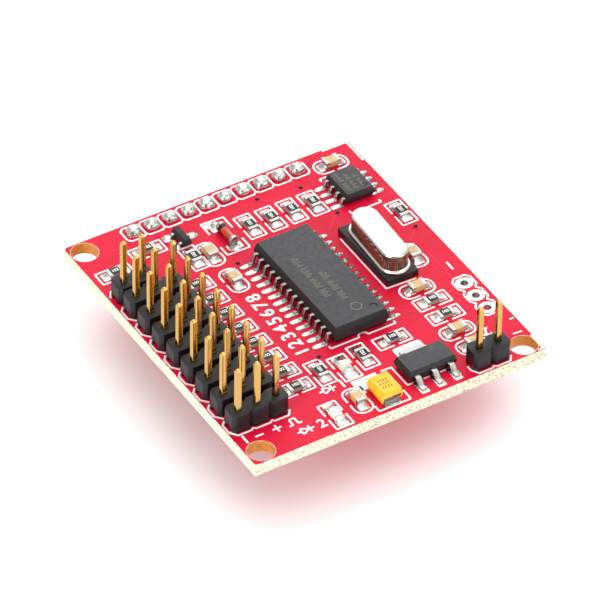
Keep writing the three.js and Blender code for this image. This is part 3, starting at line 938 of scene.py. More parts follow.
def chip_places():
    """(x, y, along X, half length, height of the solder's reach) of every two-ended chip."""
    sizes = bpy.context.scene.servo_board_parts
    half = sizes.resistor_length / MM / 2
    found = [(x, y, along, half, sizes.resistor_height / MM) for x, y, along in all_resistors()]
    for node in CAPACITORS + LEDS:
        low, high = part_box(node)
        x, y = place_of(node)
        found.append((x, y, lies_along_x(node), CHIP_HALF_LENGTH, (high.z - low.z) / MM * 0.8))
    return found


# ---------------------------------------------------------------------------------------------
# Operators
# ---------------------------------------------------------------------------------------------


class SERVOBOARD_OT_laminate(bpy.types.Operator):
    """Build the bare laminate with its cut edges and drilled walls"""

    bl_idname = "servo_board.laminate"
    bl_label = "Laminate"

    def execute(self, context):
        bm = cad_copy("circuit_board")
        holes = [spot(x, y) for x, y in MOUNT_HOLES]
        # A wall of a mounting hole lies no farther from the hole's middle than this.
        wall_reach = MOUNT_HOLE_DIAMETER * MM * 0.55
        for face in bm.faces:
            if abs(face.normal.z) > 0.5:
                continue
            middle = face.calc_center_median()
            nearest = min(math.hypot(middle.x - h.x, middle.y - h.y) for h in holes)
            face.material_index = 1 if nearest < wall_reach else 0
        outer = 0.01 * MM

        def on_outline(edge):
            return all(
                min(abs(v.co.x - board_low.x), abs(v.co.x - board_high.x)) < outer
                or min(abs(v.co.y - board_low.y), abs(v.co.y - board_high.y)) < outer
                for v in edge.verts
            )

        soften(bm, 0.09, 2, only=on_outline)
        materials = [stuff("laminate"), stuff("drilled")]
        piece_from("circuit_board_laminate", bm, materials, ["circuit_board"])
        return {"FINISHED"}


def mask_outline(inset, corner=0.5, steps=5):
    """The mask's outline with small round corners, in millimetres."""
    points = []
    for cx, cy, start in (
        (BOARD_WIDTH - inset - corner, inset + corner, -90),
        (BOARD_WIDTH - inset - corner, BOARD_DEPTH - inset - corner, 0),
        (inset + corner, BOARD_DEPTH - inset - corner, 90),
        (inset + corner, inset + corner, 180),
    ):
        for k in range(steps + 1):
            angle = math.radians(start + 90 * k / steps)
            points.append((cx + corner * math.cos(angle), cy + corner * math.sin(angle)))
    return points


def circle(x, y, radius, steps):
    """The points of a circle round (x, y), in millimetres."""
    return [
        (x + radius * math.cos(2 * math.pi * k / steps), y + radius * math.sin(2 * math.pi * k / steps))
        for k in range(steps)
    ]


def sheet_with_holes(name, outline, holes, height, base_z):
    """A flat sheet with holes through it, filled by Blender's own curve filler, as a bmesh in place."""
    flat = bpy.data.curves.new(name, "CURVE")
    flat.dimensions = "2D"
    flat.fill_mode = "BOTH"
    flat.extrude = height / 2
    for loop in [outline, *holes]:
        line = flat.splines.new("POLY")
        line.points.add(len(loop) - 1)
        for point, (x, y) in zip(line.points, loop):
            where = spot(x, y)
            point.co = (where.x, where.y, 0.0, 1.0)
        line.use_cyclic_u = True
    carrier = bpy.data.objects.new(name, flat)
    bpy.context.scene.collection.objects.link(carrier)
    data = evaluated_mesh(carrier, name)
    bpy.data.objects.remove(carrier)
    bpy.data.curves.remove(flat)
    data.transform(Matrix.Translation((0, 0, base_z + height / 2)))
    bm = bmesh.new()
    bm.from_mesh(data)
    bpy.data.meshes.remove(data)
    weld(bm)
    return bm


class SERVOBOARD_OT_solder_mask(bpy.types.Operator):
    """Build the red solder mask on both faces, with its openings"""

    bl_idname = "servo_board.solder_mask"
    bl_label = "Solder mask"

    def execute(self, context):
        sizes = context.scene.servo_board_legend
        wide = MOUNT_HOLE_DIAMETER / 2 + MOUNT_HOLE_OPENING_GAP
        holes = [circle(x, y, wide, 40) for x, y in MOUNT_HOLES]
        holes += [circle(x, y, BARE_HOLE_OPENING_RADIUS, 20) for x, y in BARE_HOLES]
        holes += [circle(x, y, VIA_OPENING_RADIUS, 12) for x, y in VIAS]
        outline = mask_outline(sizes.mask_inset / MM)
        top = sheet_with_holes("mask_top", outline, holes, sizes.mask_height, BOARD_TOP)
        piece_from("solder_mask_top", top, [stuff("mask")])
        base = board_low.z - sizes.mask_height
        bottom = sheet_with_holes("mask_bottom", outline, holes, sizes.mask_height, base)
        piece_from("solder_mask_bottom", bottom, [stuff("mask")])
        return {"FINISHED"}


# Copper tracks that show under the mask: paths of (x, y).
TOP_TRACKS = [
    [(31.6, 33.3), (33.0, 31.9), (33.0, 30.4)],
    [(24.6, 40.3), (26.6, 38.3)],
    [(30.2, 39.5), (31.9, 37.8)],
    [(38.3, 26.4), (36.6, 24.7), (36.6, 23.2)],
    [(16.55, 31.4), (15.5, 30.3)],
    [(28.2, 18.9), (30.2, 18.9), (31.4, 17.7)],
    [(28.2, 20.1), (30.6, 20.1), (33.4, 17.3)],
    [(28.2, 15.1), (30.0, 13.3)],
    [(17.0, 14.5), (15.6, 13.1), (16.1, 12.3)],
    [(13.0, 14.0), (13.0, 29.0), (14.0, 30.0)],
    [(16.1, 17.0), (14.6, 18.5), (14.6, 25.0)],
    [(35.2, 14.0), (37.0, 15.8), (37.0, 22.0)],
    [(35.2, 11.1), (36.4, 9.9), (37.8, 9.71)],
    [(20.6, 12.0), (22.0, 13.6)],
    [(4.0, 40.9), (6.6, 40.9), (8.4, 42.4)],
    [(36.3, 38.2), (38.9, 38.2), (38.9, 31.6)],
    [(36.3, 35.5), (37.9, 35.5), (38.2, 33.6)],
    [(29.0, 31.0), (30.2, 32.2), (31.6, 33.3)],
    [(12.6, 37.2), (13.6, 38.4)],
    [(20.0, 33.6), (18.4, 32.0), (17.0, 31.6)],
    [(9.5, 3.0), (7.2, 3.0), (6.0, 4.2)],
    [(25.1, 8.2), (23.4, 6.6)],
]


class SERVOBOARD_OT_tracks(bpy.types.Operator):
    """Draw the copper tracks that lift the mask on both faces"""

    bl_idname = "servo_board.tracks"
    bl_label = "Tracks"

    def execute(self, context):
        sizes = context.scene.servo_board_legend
        height = sizes.track_height
        lift = (sizes.mask_height + height / 4) / MM
        top = [[spot(x, y, lift) for x, y in path] for path in TOP_TRACKS]
        draw("tracks_top", top, sizes.track_width, height, stuff("mask_copper"), 0.6)
        under = board_low.z - sizes.mask_height - height / 4
        below = []
        for row in range(SERVO_ROWS):
            y = place_of(f"servo_header_{row + 1}")[1]
            turn = 11.0 + 0.9 * (SERVO_ROWS - 1 - row)
            below.append([(8.0, y), (turn, y), (turn + 2.0, y + 2.0), (turn + 2.0, 33.0)])
        for pin in range(LOWER_PINS):
            x = place_of(f"lower_pin_{pin + 1}")[0]
            y = 37.6 - 0.5 * pin if pin < 5 else 33.2 + 0.5 * pin
            below.append([(x, 40.6), (x, y), (x + (1.2 if pin < 5 else -1.2), y - 1.2)])
        paths = []
        for path in below:
            points = [spot(x, y) for x, y in path]
            paths.append([Vector((p.x, p.y, under)) for p in points])
        draw("tracks_bottom", paths, sizes.track_width, height, stuff("mask_copper"), 0.6)
        return {"FINISHED"}


def gapped_box(x, y, along_x, half_length, half_width, gap=0.28, cut=0.0):
    """Two facing brackets round a chip: a box with a gap in the middle of each long side.

    cut takes the corners off, which makes the rounder outline of a capacitor."""
    paths = []
    for end in (-1, 1):
        a, b = half_length, half_width
        if cut:
            arc = [(a - cut + cut * math.sin(t), b - cut + cut * math.cos(t)) for t in
                   [math.radians(90 * k / 5) for k in range(6)]]
            side = [(gap, b), *arc, *[(px, -py) for px, py in reversed(arc)], (gap, -b)]
        else:
            side = [(gap, b), (a, b), (a, -b), (gap, -b)]
        points = [(end * u, v) for u, v in side]
        paths.append([(x + u, y + v) if along_x else (x + v, y + u) for u, v in points])
    return paths


def housing_line(x, y, cells, clear=0.32, notch=0.5):
    """The scalloped outline printed round a header of so many cells, centred on (x, y), along X."""
    half, side = cells * PITCH / 2 + clear * 0.6, PITCH / 2 + clear
    lower = [(-half, -side + 1.0), (-half + 0.6, -side)]
    for cell in range(1, cells):
        at = (cell - cells / 2) * PITCH
        lower += [(at - notch * 0.6, -side), (at, -side + notch * 0.55), (at + notch * 0.6, -side)]
    lower += [(half - 0.6, -side), (half, -side + 0.8)]
    return [(x + u, y + v) for u, v in lower], [(x + u, y - v) for u, v in lower]


def chained_outline(cells, reach, flat):
    """A closed outline round a row of joints: an octagon for each, with no lines between neighbours."""
    side = [(-(cells - 1) / 2 * PITCH - reach, flat)]
    for cell in range(cells):
        at = (cell - (cells - 1) / 2) * PITCH
        if cell:
            side.append((at - PITCH / 2, flat + 0.06))
        side += [(at - flat, reach), (at + flat, reach)]
    side.append(((cells - 1) / 2 * PITCH + reach, flat))
    loop = side + [(u, -v) for u, v in reversed(side)]
    return loop + loop[:1]


def diode_symbol(x, y, size):
    """The drawing sign for a diode, along X."""
    half = size / 2
    return [
        [(x - half, y - half), (x - half, y + half), (x + half * 0.8, y), (x - half, y - half)],
        [(x + half, y - half), (x + half, y + half)],
        [(x - half * 2, y), (x - half - 0.14, y)],
        [(x + half + 0.14, y), (x + half * 2, y)],
    ]


class SERVOBOARD_OT_legend(bpy.types.Operator):
    """Print the white legend: outlines round the parts, and plain numerals"""

    bl_idname = "servo_board.legend"
    bl_label = "Legend"

    def execute(self, context):
        sizes = context.scene.servo_board_legend
        paths = []
        for x, y, along in all_resistors():
            paths += gapped_box(x, y, along, 2.18, 1.05)
        for node in CAPACITORS:
            x, y = place_of(node)
            paths += gapped_box(x, y, lies_along_x(node), 2.2, 1.2, 0.28, 1.0)
        for node in LEDS:
            x, y = place_of(node)
            paths += gapped_box(x, y, False, 2.2, 1.15, 0.35)
        paths += self.header_lines()
        paths += self.chip_lines()
        paths += self.corner_lines()
        paths += self.symbols()
        lift = (sizes.mask_height + sizes.ink_height / 2) / MM
        # Lines that cross lie a hair apart, so that no two faces share a plane.
        points = [[spot(x, y, lift + 0.004 * (i % 4)) for x, y in path] for i, path in enumerate(paths)]
        draw(
            "legend_lines", points, sizes.line_width, sizes.ink_height, stuff("ink"), 0.12
        )
        self.print_numerals(sizes, lift)
        return {"FINISHED"}

    def header_lines(self):
        """Outlines round the servo headers, the logic header, the back row of joints and the bare holes."""
        paths = []
        x, _ = place_of("servo_header_1")
        for row in range(SERVO_ROWS):
            _, y = place_of(f"servo_header_{row + 1}")
            lower, upper = housing_line(x, y, 3)
            if row == 0:
                paths.append(lower)
            left = x - 1.5 * PITCH - 0.3
            paths.append(
                [(left + 0.75, y - 1.62), (left, y - 0.75), (left, y + 0.75), (left + 0.55, y + 1.35)]
            )
        x, y = place_of("supply_header")
        paths.append(housing_line(x, y, 2)[1])
        x, y = place_of("logic_header")
        paths.append([(x - PITCH - 0.16, y + 0.15)] + housing_line(x, y, 2)[0])
        x, y = place_of("lower_header")
        paths.append([(x + u, y + v) for u, v in chained_outline(LOWER_PINS, 1.27, 0.85)])
        for pin in range(1, LOWER_PINS):
            between = x + (pin - LOWER_PINS / 2) * PITCH
            paths.append([(between, y - 0.85), (between, y + 0.85)])
        x, y = BARE_HOLES[1]
        paths.append([(x + v, y + u) for u, v in chained_outline(3, 1.25, 0.7)])
        return paths

    def chip_lines(self):
        """Lines at the ends of the chips, the regulator, the tantalum capacitor, the crystal
        and the diode."""
        bump = [(22.6 + 0.62 * math.cos(t), 12.85 + 0.62 * math.sin(t)) for t in
                [math.radians(180 - 180 * k / 8) for k in range(9)]]
        return [
            [(18.1, 13.3), (18.1, 12.85), (21.9, 12.85), *bump, (27.0, 12.85), (27.0, 13.3)],
            [(33.0, 32.9), (33.0, 32.4), (37.2, 32.4), (37.2, 32.9)],
            [(33.0, 39.2), (33.0, 39.7), (34.0, 39.7)],
            [(29.38, 29.05), (29.3, 18.6), (33.35, 18.4)],
            [(21.0, 6.5), (22.4, 6.5), (22.4, 2.9), (23.3, 2.9)],
            [(24.6, 2.9), (25.5, 2.9)],
            [(26.9, 2.9), (27.7, 2.9)],
            [(17.2, 1.7), (17.2, 0.7), (21.5, 0.7), (21.5, 2.4)],
            [(17.5, 5.6), (17.5, 4.2)],
            [(16.3, 35.0), (16.3, 33.35), (19.4, 33.3), (19.4, 35.2)],
            [(16.35, 37.6), (16.35, 39.75), (19.4, 39.6), (19.4, 37.4)],
        ]

    def corner_lines(self):
        """Marks at the board's corners and edges."""
        w, d = BOARD_WIDTH, BOARD_DEPTH
        return [
            [(w - 3.8, d - 0.35), (w - 0.35, d - 0.35), (w - 0.35, d - 4.3)],
            [(w - 0.35, 6.6), (w - 0.9, 6.6)],
            [(w - 0.3, 3.0), (w - 0.3, 0.35), (w - 1.0, 0.35)],
            [(w - 2.0, 4.2), (w - 0.8, 4.1)],
        ]

    def symbols(self):
        """Minus, plus and pulse for the three servo columns, and a diode sign by each LED."""
        y = 4.25
        return [
            [(2.6, y), (3.7, y)],
            [(4.9, y), (6.1, y)],
            [(5.5, y - 0.6), (5.5, y + 0.6)],
            [(6.9, y - 0.5), (7.4, y - 0.5), (7.4, y + 0.5), (8.1, y + 0.5), (8.1, y - 0.5), (8.6, y - 0.5)],
            *diode_symbol(8.2, 2.3, 1.1),
            *diode_symbol(14.0, 6.95, 1.1),
        ]

    def print_numerals(self, sizes, lift):
        """The channels' numerals, a few single ones elsewhere and two solid white blocks."""
        bm = bmesh.new()
        tall = sizes.numeral_height / MM
        for row in range(SERVO_ROWS):
            y = 14.1 + row * 1.58
            where = spot(15.0, y, lift)
            add_text(bm, str(row + 1), tall, where, math.radians(90), sizes.ink_height / MM, 0.05)
        extra = [
            ("1", 1.35, 4.6, 180),
            ("1", 16.0, 6.95, 0),
            ("2", 10.4, 2.3, 0),
            ("1", 38.0, 18.4, 180),
            ("2", 35.4, 6.2, 180),
        ]
        for words, x, y, turn in extra:
            add_text(bm, words, tall * 0.8, spot(x, y, lift), math.radians(turn), sizes.ink_height / MM, 0.04)
        blocks = [((17.15, 39.05), (1.3, 0.9)), ((18.6, 5.7), (3.4, 2.0))]
        for (x, y), (w, d) in blocks:
            add_block(bm, spot(x, y, lift), (w * MM, d * MM, sizes.ink_height))
        piece_from("legend_numerals", bm, [stuff("ink")])


def carved(bm, blocks):
    """A bmesh with boxes, given as (middle, size), cut out of it."""
    tool_bm = bmesh.new()
    for middle, size in blocks:
        add_block(tool_bm, middle, size)
    pair = []
    for shape in (bm, tool_bm):
        data = bpy.data.meshes.new("carving")
        shape.to_mesh(data)
        shape.free()
        pair.append(bpy.data.objects.new("carving", data))
        bpy.context.scene.collection.objects.link(pair[-1])
    body, tool = pair
    cut = body.modifiers.new("cut", "BOOLEAN")
    cut.operation = "DIFFERENCE"
    cut.solver = "EXACT"
    cut.object = tool
    data = evaluated_mesh(body, "carving")
    made = bmesh.new()
    made.from_mesh(data)
    for used in pair:
        bpy.data.objects.remove(used)
    bpy.data.meshes.remove(data)
    return made


class SERVOBOARD_OT_housings(bpy.types.Operator):
    """Round the edges of the header housings, and cut the recess in each end"""

    bl_idname = "servo_board.housings"
    bl_label = "Header housings"

    def execute(self, context):
        names = [f"servo_header_{row + 1}" for row in range(SERVO_ROWS)]
        for name in [*names, "supply_header", "logic_header", "lower_header"]:
            bm = cad_copy(name)
            low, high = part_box(name)
            y, z = (low.y + high.y) / 2, low.z if name != "lower_header" else high.z
            recess = (0.9 * MM, 0.95 * MM, 1.1 * MM)
            bm = carved(bm, [((x, y, z), recess) for x in (low.x, high.x)])
            soften(bm, 0.05, 2)
            piece_from(f"{name}_housing", bm, [stuff("nylon")], [name])
        return {"FINISHED"}


class SERVOBOARD_OT_pins(bpy.types.Operator):
    """Round the edges of the gold-plated pins"""

    bl_idname = "servo_board.pins"
    bl_label = "Pins"

    def execute(self, context):
        names = [f"signal_pin_{row + 1}" for row in range(SERVO_ROWS)]
        names += ["logic_pin_1", "logic_pin_2"] + [f"lower_pin_{pin + 1}" for pin in range(10)]
        for name in names:
            bm = cad_copy(name)
            soften(bm, 0.05, 2)
            piece_from(f"{name}_plated", bm, [stuff("gold")], [name])
        for name in ("ground_rail", "power_rail"):
            bm = cad_copy(name)
            soften(bm, 0.05, 2)
            piece_from(f"{name}_plated", bm, [stuff("gold_tin")], [name])
        return {"FINISHED"}


class SERVOBOARD_OT_pin_joints(bpy.types.Operator):
    """Solder the pins: peaks on top at the back header and below the board at the others"""

    bl_idname = "servo_board.pin_joints"
    bl_label = "Pin joints"

    def execute(self, context):
        sizes = context.scene.servo_board_parts
        radius, height = sizes.joint_width / MM / 2, sizes.joint_height / MM
        profile = [
            (0.0, 0.0), (radius * 0.98, 0.0), (radius, 0.1),
            (radius * 0.96, height * 0.36), (radius * 0.84, height * 0.62),
            (radius * 0.62, height * 0.84), (radius * 0.34, height * 0.96), (0.0, height),
        ]
        cone = bmesh.new()
        add_lathe(cone, profile, 20)
        for vert in cone.verts:
            reach = math.hypot(vert.co.x, vert.co.y)
            if reach > 0:
                c, q = abs(vert.co.x) / reach, abs(vert.co.y) / reach
                vert.co.xy *= (c**3.4 + q**3.4) ** (-1 / 3.4)
        places = []
        for pin in range(LOWER_PINS):
            x, y = place_of(f"lower_pin_{pin + 1}")
            places.append((spot(x, y, 0.02), math.radians(5 * (pin % 3) - 5)))
        uneven = sizes.unevenness * 7
        repeat("back_header_joints", cone, places, stuff("solder"), 0.1, uneven, 0.7)
        cone = bmesh.new()
        flip = Matrix.Rotation(math.pi, 4, "X")
        under = [(0.0, 0.0), (0.9, 0.0), (0.9, 0.06), (0.62, 0.35), (0.48, 0.8), (0.42, 1.0), (0.0, 1.05)]
        add_lathe(cone, under, 16, flip)
        bmesh.ops.recalc_face_normals(cone, faces=cone.faces)
        below = []
        columns = [place_of("signal_pin_1")[0], place_of("ground_rail")[0], place_of("power_rail")[0]]
        rows = [place_of(f"servo_header_{row + 1}")[1] for row in range(SERVO_ROWS)]
        for column, x in enumerate(columns):
            for row, y in enumerate(rows):
                where = spot(x, y)
                drop = STRIP_DROP if column else SOLDER_LIFT
                below.append((Vector((where.x, where.y, board_low.z - drop * MM)), row * 0.9))
            if column:
                where = spot(x, place_of("supply_header")[1])
                below.append((Vector((where.x, where.y, board_low.z - 0.28 * MM)), 0.4))
        for pin in (1, 2):
            where = centre(f"logic_pin_{pin}")
            below.append((Vector((where.x, where.y, board_low.z - 0.02 * MM)), 1.3 * pin))
        uneven = sizes.unevenness * 2
        repeat("underside_joints", cone, below, stuff("solder"), 0.08, uneven, 0.6)
        self.bare_holes()
        return {"FINISHED"}

    def bare_holes(self):
        """A tinned ring on each face and a plated barrel through each unused hole."""
        thick, top = PAD_HEIGHT, board_high.z / MM
        ring, barrel = bmesh.new(), bmesh.new()
        for foot, rise in ((top, thick), (0.0, -thick)):
            loop = [(0.5, foot), (1.02, foot), (1.02, foot + rise * 0.7),
                    (0.95, foot + rise), (0.57, foot + rise),
                    (0.5, foot + rise * 0.7), (0.5, foot)]
            add_lathe(ring, loop, 28)
        for vert in ring.verts:
            if math.hypot(vert.co.x, vert.co.y) > 0.9 * MM:
                vert.co.x *= 1.12
        add_lathe(barrel, [(0.455, 0.0), (0.495, 0.0), (0.495, top), (0.455, top), (0.455, 0.0)], 28)
        for shape in (ring, barrel):
            bmesh.ops.remove_doubles(shape, verts=shape.verts, dist=0.001 * MM)
            bmesh.ops.recalc_face_normals(shape, faces=shape.faces)
        where = [(Vector((spot(x, y).x, spot(x, y).y, 0.0)), 0.0) for x, y in BARE_HOLES]
        repeat("bare_hole_rings", ring, where, stuff("solder"))
        repeat("bare_hole_barrels", barrel, where, stuff("tin"))


class SERVOBOARD_OT_surface_solder(bpy.types.Operator):
    """Lay the pads and the solder of the surface-mounted parts"""

    bl_idname = "servo_board.surface_solder"
    bl_label = "Surface solder"

    def execute(self, context):
        sizes = context.scene.servo_board_parts
        reach, end = sizes.pad_reach / MM, sizes.end_length / MM
        low, tall = [], []
        lamps = [place_of(node) for node in LEDS]
        for x, y, along, half, height in chip_places():
            if (x, y) in lamps:
                continue
            for side in (-1, 1):
                turn = (0 if side > 0 else math.pi) + (0 if along else math.pi / 2)
                offset = side * half
                where = spot(x + offset, y) if along else spot(x, y + offset)
                (tall if height > 0.6 else low).append((where, turn))
        repeat("low_chip_solder", self.fillet(reach, end, 0.42), low, stuff("solder"),
               0.06, sizes.unevenness * 2, 0.5)
        repeat("tall_chip_solder", self.fillet(reach, end, 0.62), tall, stuff("solder"),
               0.06, sizes.unevenness * 2, 0.5)
        ends = [(spot(x, y + side * 0.95), side * math.pi / 2) for x, y in lamps for side in (-1, 1)]
        repeat("lamp_solder", self.fillet(1.15, end, 0.5, 1.6), ends, stuff("solder"),
               0.04, sizes.unevenness * 3, 0.5)
        self.lead_pads(sizes)
        self.power_pads(sizes)
        return {"FINISHED"}

    def fillet(self, reach, under, height, width=1.5):
        """Solder at one end of a chip, running out along +X from its end face at X = 0, in millimetres."""
        bm = bmesh.new()
        nu, nv = 9, 8
        top, bottom = [], []
        for i in range(nu + 1):
            u = i / nu
            x = -under + (reach + under) * u
            outside = max(0.0, x / reach)
            for j in range(nv + 1):
                v = 2 * j / nv - 1
                pinch = 1 - 0.22 * max(0.0, u - 0.75) / 0.25 * abs(v) ** 2
                y = v * width / 2 * pinch
                swell = (1 - outside) ** 1.6 if x > 0 else 1.0
                rise = 0.1 + (height - 0.1) * swell
                fall = 1 - 0.75 * abs(v) ** 3
                top.append(bm.verts.new((x * MM, y * MM, max(0.06, rise * fall) * MM)))
                bottom.append(bm.verts.new((x * MM, y * MM, 0.0)))
        skin_grid(bm, top, bottom, nu, nv)
        return bm

    def lead_pads(self, sizes):
        """Solder round the feet of the two chips' leads."""
        chips = [("controller", 14, 2.4, 0.82, 0.75), ("memory", 4, 2.0, 0.82, 0.5)]
        for chip, count, length_, width, foot in chips:
            places = []
            for side, node in ((-1, f"{chip}_leads_left"), (1, f"{chip}_leads_right")):
                low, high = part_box(node)
                toe = low.x if side < 0 else high.x
                first = low.y + 0.21 * MM
                step = (high.y - low.y - 0.42 * MM) / (count - 1)
                for lead in range(count):
                    x = toe + side * (length_ / 2 - foot - (0.55 if side < 0 else 0.95)) * MM
                    point = Vector((x, first + lead * step, BOARD_TOP + SOLDER_LIFT * MM))
                    places.append((point, 0.0 if side > 0 else math.pi))
            mound = bmesh.new()
            add_mound(mound, (length_, width), 0.3, 0.3, (10, 6), 2.6)
            uneven = sizes.unevenness * 2
            repeat(f"{chip}_lead_solder", mound, places, stuff("solder"), 0.1, uneven, 0.5)

    def power_pads(self, sizes):
        """Pads of the regulator, the tantalum capacitor, the transistor and the glass diode."""
        spots = [
            (25.9, 7.8, 3.8, 2.5), (23.6, 1.75, 1.15, 2.3), (25.9, 1.75, 1.15, 2.3), (28.2, 1.75, 1.15, 2.3),
            (19.25, 1.25, 2.1, 1.0), (19.25, 5.0, 2.3, 1.5),
            (17.85, 38.1, 2.0, 1.1), (17.85, 34.3, 2.0, 1.2),
        ]
        bm = bmesh.new()
        for x, y, w, d in spots:
            part = bmesh.new()
            add_mound(part, (w, d), 0.13, 0.6, (10, 10), 9.0)
            bmesh.ops.translate(part, verts=part.verts, vec=spot(x, y, 0.02))
            carrier = bpy.data.meshes.new("pad")
            part.to_mesh(carrier)
            part.free()
            bm.from_mesh(carrier)
            bpy.data.meshes.remove(carrier)
        piece_from("power_pads", bm, [stuff("solder")])
        # Rounder beads of solder under the transistor's feet and the diode's caps.
        bead = bmesh.new()
        add_mound(bead, (1.5, 1.35), 0.42, 0.3, (8, 8), 2.6)
        where = [(spot(x, y, 0.02), turn) for x, y, turn in
                 ((11.65, 39.5, 0.2), (11.7, 37.65, -0.3), (14.45, 38.55, 0.1), (17.85, 34.05, 1.5), (17.85, 38.6, 1.6))]
        repeat("solder_beads", bead, where, stuff("solder"), 0.1, sizes.unevenness * 4, 0.5)


def moulded(name, bm, node):
    """A chip's moulding: matt on top, and on its sides a much darker copy of the material, which paints the
    shade there.
    """
    for face in bm.faces:
        # Upright faces take the darker copy, which paints their shade.
        face.material_index = 1 if abs(face.normal.z) < 0.6 else 0
    piece_from(name, bm, [stuff("moulding"), stuff("dark_body_and_shade_moulding")], [node])


class SERVOBOARD_OT_chips(bpy.types.Operator):
    """Round the moulded chips and their leads, and mark the bodies"""

    bl_idname = "servo_board.chips"
    bl_label = "Chips"

    def execute(self, context):
        for chip in ("controller", "memory"):
            bm = cad_copy(f"{chip}_body")
            soften(bm, 0.06, 2, 20.0)
            moulded(f"{chip}_moulding", bm, f"{chip}_body")
            for side in ("left", "right"):
                bm = cad_copy(f"{chip}_leads_{side}")
                soften(bm, 0.04, 1, 20.0)
                node = f"{chip}_leads_{side}"
                # The leads take the half-bright tin, which paints their shade.
                piece_from(f"{node}_tinned", bm, [stuff("shaded_lead_tin")], [node])
        self.marks()
        return {"FINISHED"}

    def marks(self):
        """Rows of plain strokes and a ring where a maker would print."""
        low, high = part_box("controller_body")
        top = high.z + 0.004 * MM
        bm = bmesh.new()
        self.strokes(bm, low.x + 2.5 * MM, low.y + 5.6 * MM, top, 13, 0.9)
        self.strokes(bm, low.x + 4.1 * MM, low.y + 4.3 * MM, top, 9, 0.9)
        ring = [(0.6, 0.0), (0.72, 0.0), (0.72, 0.012), (0.6, 0.012), (0.6, 0.0)]
        add_lathe(bm, ring, 24, Matrix.Translation((low.x + 4.4 * MM, low.y + 2.4 * MM, top - 0.006 * MM)))
        low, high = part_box("memory_body")
        for row in range(3):
            x = low.x + (0.95 + 0.95 * row) * MM
            self.strokes(bm, x, low.y + 0.9 * MM, high.z + 0.004 * MM, 6 - row, 0.6)
        bmesh.ops.remove_doubles(bm, verts=bm.verts, dist=0.0005 * MM)
        bmesh.ops.recalc_face_normals(bm, faces=bm.faces)
        piece_from("chip_marks", bm, [stuff("mark")])

    def strokes(self, bm, x, y, z, count, tall):
        """A row of short plain bars in three lengths, for a line of laser marks."""
        for k in range(count * 2):
            if k % 7 == 5:
                continue
            size = tall * (1.0, 0.62, 1.0, 0.8)[k % 4]
            at = y + k * 0.31 * MM
            add_block(bm, (x - (tall - size) / 2 * MM, at, z), (size * MM, 0.12 * MM, 0.012 * MM))


class SERVOBOARD_OT_regulator(bpy.types.Operator):
    """Round the voltage regulator, its tab and its leads"""

    bl_idname = "servo_board.regulator"
    bl_label = "Regulator"

    def execute(self, context):
        bm = cad_copy("regulator_body")
        soften(bm, 0.04, 2, 20.0)
        moulded("regulator_moulding", bm, "regulator_body")
        for node in ("regulator_tab", "regulator_leads"):
            bm = cad_copy(node)
            soften(bm, 0.05, 2, 20.0)
            piece_from(f"{node}_tinned", bm, [stuff("tin")], [node])
        return {"FINISHED"}


class SERVOBOARD_OT_crystal(bpy.types.Operator):
    """Build the crystal's drawn can and round its carrier"""

    bl_idname = "servo_board.crystal"
    bl_label = "Crystal"

    def execute(self, context):
        low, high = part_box("crystal_base")
        bm = bmesh.new()
        middle = spot(31.75, 24.4, (low.z + high.z) / 2 / MM - BOARD_TOP / MM)
        add_block(bm, middle, (4.3 * MM, 11.3 * MM, high.z - low.z))
        soften(bm, 0.35, 1, only=lambda edge: abs(edge.verts[0].co.z - edge.verts[1].co.z) > 0.5 * MM)
        soften(bm, 0.08, 2)
        piece_from("crystal_carrier", bm, [stuff("nylon")], ["crystal_base"])
        low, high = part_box("crystal_can")
        middle = (low + high) / 2
        turn = math.radians(-2.5)
        # Outline width, outline length and height above the flange's foot, from the foot to the crown.
        levels = [
            (3.87, 10.92, 0.0), (3.95, 11.0, 0.05), (3.95, 11.0, 0.28),
            (3.87, 10.92, 0.34), (3.6, 10.6, 0.36),
            (3.46, 10.3, 0.42), (3.42, 10.24, 0.6), (3.4, 10.2, 1.5), (3.4, 10.2, 2.2), (3.34, 10.14, 2.4),
            (3.2, 10.0, 2.52), (2.95, 9.75, 2.59), (2.6, 9.4, 2.6),
        ]
        bm = bmesh.new()
        rings = []
        for width, length_, z in levels:
            ring = []
            radius, straight = width / 2, (length_ - width) / 2
            for k in range(48):
                angle = 2 * math.pi * (k + 0.5) / 48
                shift = straight if math.sin(angle) > 0 else -straight
                dx, dy = radius * math.cos(angle), radius * math.sin(angle) + shift
                point = Vector((dx * MM, dy * MM, z * MM))
                ring.append(bm.verts.new(point))
            rings.append(ring)
        for level, (lower, upper) in enumerate(zip(rings, rings[1:])):
            for k in range(48):
                m = (k + 1) % 48
                face = bm.faces.new((lower[k], lower[m], upper[m], upper[k]))
                # The upright wall takes the darker copy, which paints its shade and reflections.
                face.material_index = 1 if 4 < level < 9 else 0
        bm.faces.new(rings[0][::-1])
        bm.faces.new(rings[-1])
        place = Matrix.Translation((middle.x, middle.y, low.z)) @ Matrix.Rotation(turn, 4, "Z")
        bmesh.ops.transform(bm, matrix=place, verts=bm.verts)
        finishes = [stuff("nickel"), stuff("painted_shade_nickel_wall")]
        piece_from("crystal_drawn_can", bm, finishes, ["crystal_can"], 50.0)
        return {"FINISHED"}


